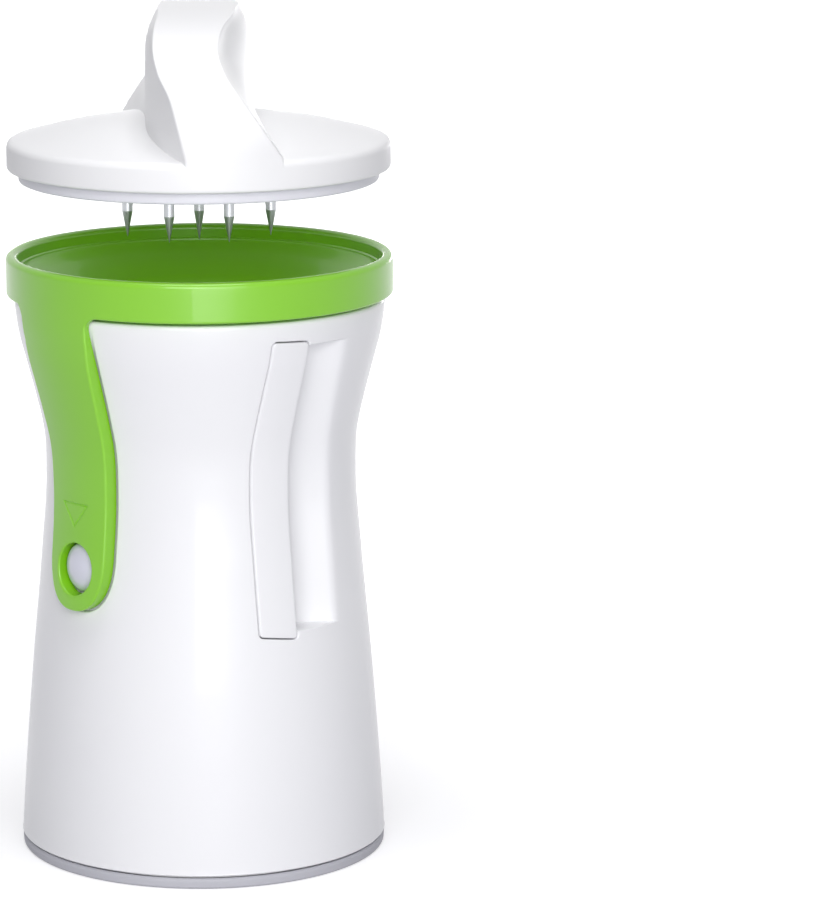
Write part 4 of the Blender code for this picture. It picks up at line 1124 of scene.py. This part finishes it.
spike_circle = 0.46 * plate_radius
spike_radius = 1.2 * mm
down = Vector((0, 0, -1))
ring_spots = [(to_cap + Vector((spike_circle * math.cos(a), spike_circle * math.sin(a), plate_low)), down)
              for a in (np.arange(8) + 0.5) * math.pi / 4]
values = {"Radius": spike_radius, "Length": spike_length, "Point share": 0.45, "Head radius": 1.8 * spike_radius,
          "Head height": 0.8 * spike_radius, "Seat": plate_thickness + gap, "Material": ground_steel}
set_in_place("ring_spikes", spike_tree, ring_spots, "pusher", ["spike_%d" % k for k in range(1, 9)])
values["Length"] = 1.15 * spike_length
middle_spot = [(to_cap + Vector((0, 0, plate_low)), down)]
set_in_place("middle_spike", spike_tree, middle_spot, "pusher", ["spike_9"])

# Coil spring behind the button
spring_tree, given, result = node_group("coil spring", (
    ("Radius", "NodeSocketFloat"), ("Wire radius", "NodeSocketFloat"), ("Length", "NodeSocketFloat"),
    ("Turns", "NodeSocketFloat"), ("Material", "NodeSocketMaterial")))
t, g = spring_tree, given.outputs
coil = add(t, "GeometryNodeCurveSpiral", {"Resolution": 40}, {"Rotations": g["Turns"], "Start Radius": g["Radius"],
           "End Radius": g["Radius"], "Height": g["Length"]})
wire = add(t, "GeometryNodeCurvePrimitiveCircle", {"Resolution": 12}, {"Radius": g["Wire radius"]})
body = add(t, "GeometryNodeCurveToMesh", {"Fill Caps": True}, {"Curve": coil.outputs[0],
           "Profile Curve": wire.outputs[0]})
set_out(t, given, result, body.outputs[0])
cup_floor = flange_out - peg_reach - cup_depth
spring_low = cup_floor + spring_wire + gap
spring_high = flange_out - button_flange - spring_wire - gap
values = {"Radius": 0.85 * button_radius, "Wire radius": spring_wire, "Length": spring_high - spring_low,
          "Turns": 5.0, "Material": plated_steel}
set_in_place("button_spring_coil", spring_tree, [(out * spring_low + up * hole_height, out)], "base",
             ["button_spring"], 60)

# ---------------------------------------------------------------- camera, floor and light
camera_data = bpy.data.cameras.new("camera")
camera = bpy.data.objects.new("camera", camera_data)
scene.collection.objects.link(camera)
camera_data.sensor_fit = "HORIZONTAL"
camera_data.sensor_width = 36.0
# Focal length, the axis's column and the tilt were fitted to the rims' ellipses in the photograph
picture_width, focal_pixels, axis_column = 827, 4454.8, 200.97
camera_data.lens = camera_data.sensor_width * focal_pixels / picture_width
camera_data.shift_x = (0.5 * picture_width - axis_column) / picture_width
pitch, roll = 0.2045, 0.0078
forward = Vector((0, math.cos(pitch), -math.sin(pitch)))
level_up = Vector((0, math.sin(pitch), math.cos(pitch)))
across = Vector((1, 0, 0)) * math.cos(roll) - level_up * math.sin(roll)
camera_up = Vector((1, 0, 0)) * math.sin(roll) + level_up * math.cos(roll)
pose = Matrix((across, camera_up, -forward)).transposed().to_4x4()
pose.translation = Vector((0, -1.0, 0.29936))
camera.matrix_world = pose
scene.camera = camera

# Floor that keeps the shadow near the foot and turns to plain white for the eye further out
floor_half = 3
floor_mesh = bpy.data.meshes.new("floor")
floor_mesh.from_pydata([(x * floor_half, y * floor_half, 0) for x, y in ((-1, -1), (1, -1), (1, 1), (-1, 1))], [],
                       [(0, 1, 2, 3)])
floor = bpy.data.objects.new("floor", floor_mesh)
scene.collection.objects.link(floor)
floor_material = bpy.data.materials.new("white paper sweep")
floor_material.use_nodes = True
floor_mesh.materials.append(floor_material)
tree = floor_material.node_tree
shader = tree.nodes["Principled BSDF"]
shader.inputs["Base Color"].default_value = srgb("C6C6C9")
shader.inputs["Roughness"].default_value = 0.9
reach = add(tree, "ShaderNodeVectorMath", {"operation": "LENGTH"},
            {0: add(tree, "ShaderNodeTexCoord").outputs["Object"]})
away = add(tree, "ShaderNodeMapRange", {"From Min": 0.05, "From Max": 0.45, "To Min": 0.55, "To Max": 1.0},
           {"Value": reach.outputs["Value"]})
rays = add(tree, "ShaderNodeLightPath")
seen = add(tree, "ShaderNodeMath", {"operation": "MAXIMUM"}, {0: rays.outputs["Is Camera Ray"],
           1: rays.outputs["Is Glossy Ray"]})
lift = add(tree, "ShaderNodeMath", {"operation": "MULTIPLY"}, {0: seen.outputs[0], 1: away.outputs["Result"]})
shader.inputs["Emission Color"].default_value = (1, 1, 1, 1)
tree.links.new(lift.outputs[0], shader.inputs["Emission Strength"])

# Dim bluish room light on the object, plain white behind it
world = bpy.data.worlds.new("studio")
scene.world = world
world.use_nodes = True
tree = world.node_tree
ambient = tree.nodes["Background"]
ambient.inputs["Color"].default_value = srgb("EDEDFB")
ambient.inputs["Strength"].default_value = 0.16
backdrop = add(tree, "ShaderNodeBackground", {"Color": (1, 1, 1, 1), "Strength": 1.0})
rays = add(tree, "ShaderNodeLightPath")
plain_rays = add(tree, "ShaderNodeMath", {"operation": "MAXIMUM"}, {0: rays.outputs["Is Camera Ray"],
                 1: rays.outputs["Is Transmission Ray"]})
clear_rays = add(tree, "ShaderNodeMath", {"operation": "MAXIMUM"}, {0: plain_rays.outputs[0],
                 1: rays.outputs["Is Glossy Ray"]})
mixed = add(tree, "ShaderNodeMixShader", {}, {0: clear_rays.outputs[0], 1: ambient.outputs[0],
            2: backdrop.outputs[0]})
tree.links.new(mixed.outputs[0], tree.nodes["World Output"].inputs["Surface"])


def lamp(name, position, target, size, power):
    """A softbox that faces a target, in metres and watts."""
    data = bpy.data.lights.new(name, "AREA")
    data.shape = "RECTANGLE"
    data.size, data.size_y = size
    data.energy = power
    item = bpy.data.objects.new(name, data)
    scene.collection.objects.link(item)
    item.location = position
    item.rotation_euler = (Vector(target) - Vector(position)).to_track_quat("-Z", "Y").to_euler()
    item.visible_camera = False
    return data


lamp("overhead box", (0.0, -0.10, 1.15), (0, 0, 0.15), (0.55, 0.42), 5.7)
lamp("front key box", (-0.20, -1.25, 0.62), (0, 0, 0.11), (0.50, 0.60), 5.1)
lamp("tall side strip", (0.30, -1.25, 0.45), (0, 0, 0.11), (0.60, 0.95), 4.0)
lamp("rear fill box", (0.25, 1.30, 0.10), (0, 0, 0.08), (0.9, 0.18), 2.2)

# A near strip box, brightest along its left side, draws the long highlight down the front
near = lamp("near strip box", (0.052, -0.40, 0.18), (0.0, 0.0, 0.14), (0.17, 0.34), 0.34)
near.use_nodes = True
tree = near.node_tree
spot = add(tree, "ShaderNodeSeparateXYZ", {}, {0: add(tree, "ShaderNodeNewGeometry").outputs["Parametric"]})
fade = add(tree, "ShaderNodeMapRange", {"To Min": 1.7, "To Max": 0.3}, {"Value": spot.outputs["X"]})
tree.links.new(fade.outputs["Result"], tree.nodes["Emission"].inputs["Strength"])

scene.view_settings.view_transform = "Standard"
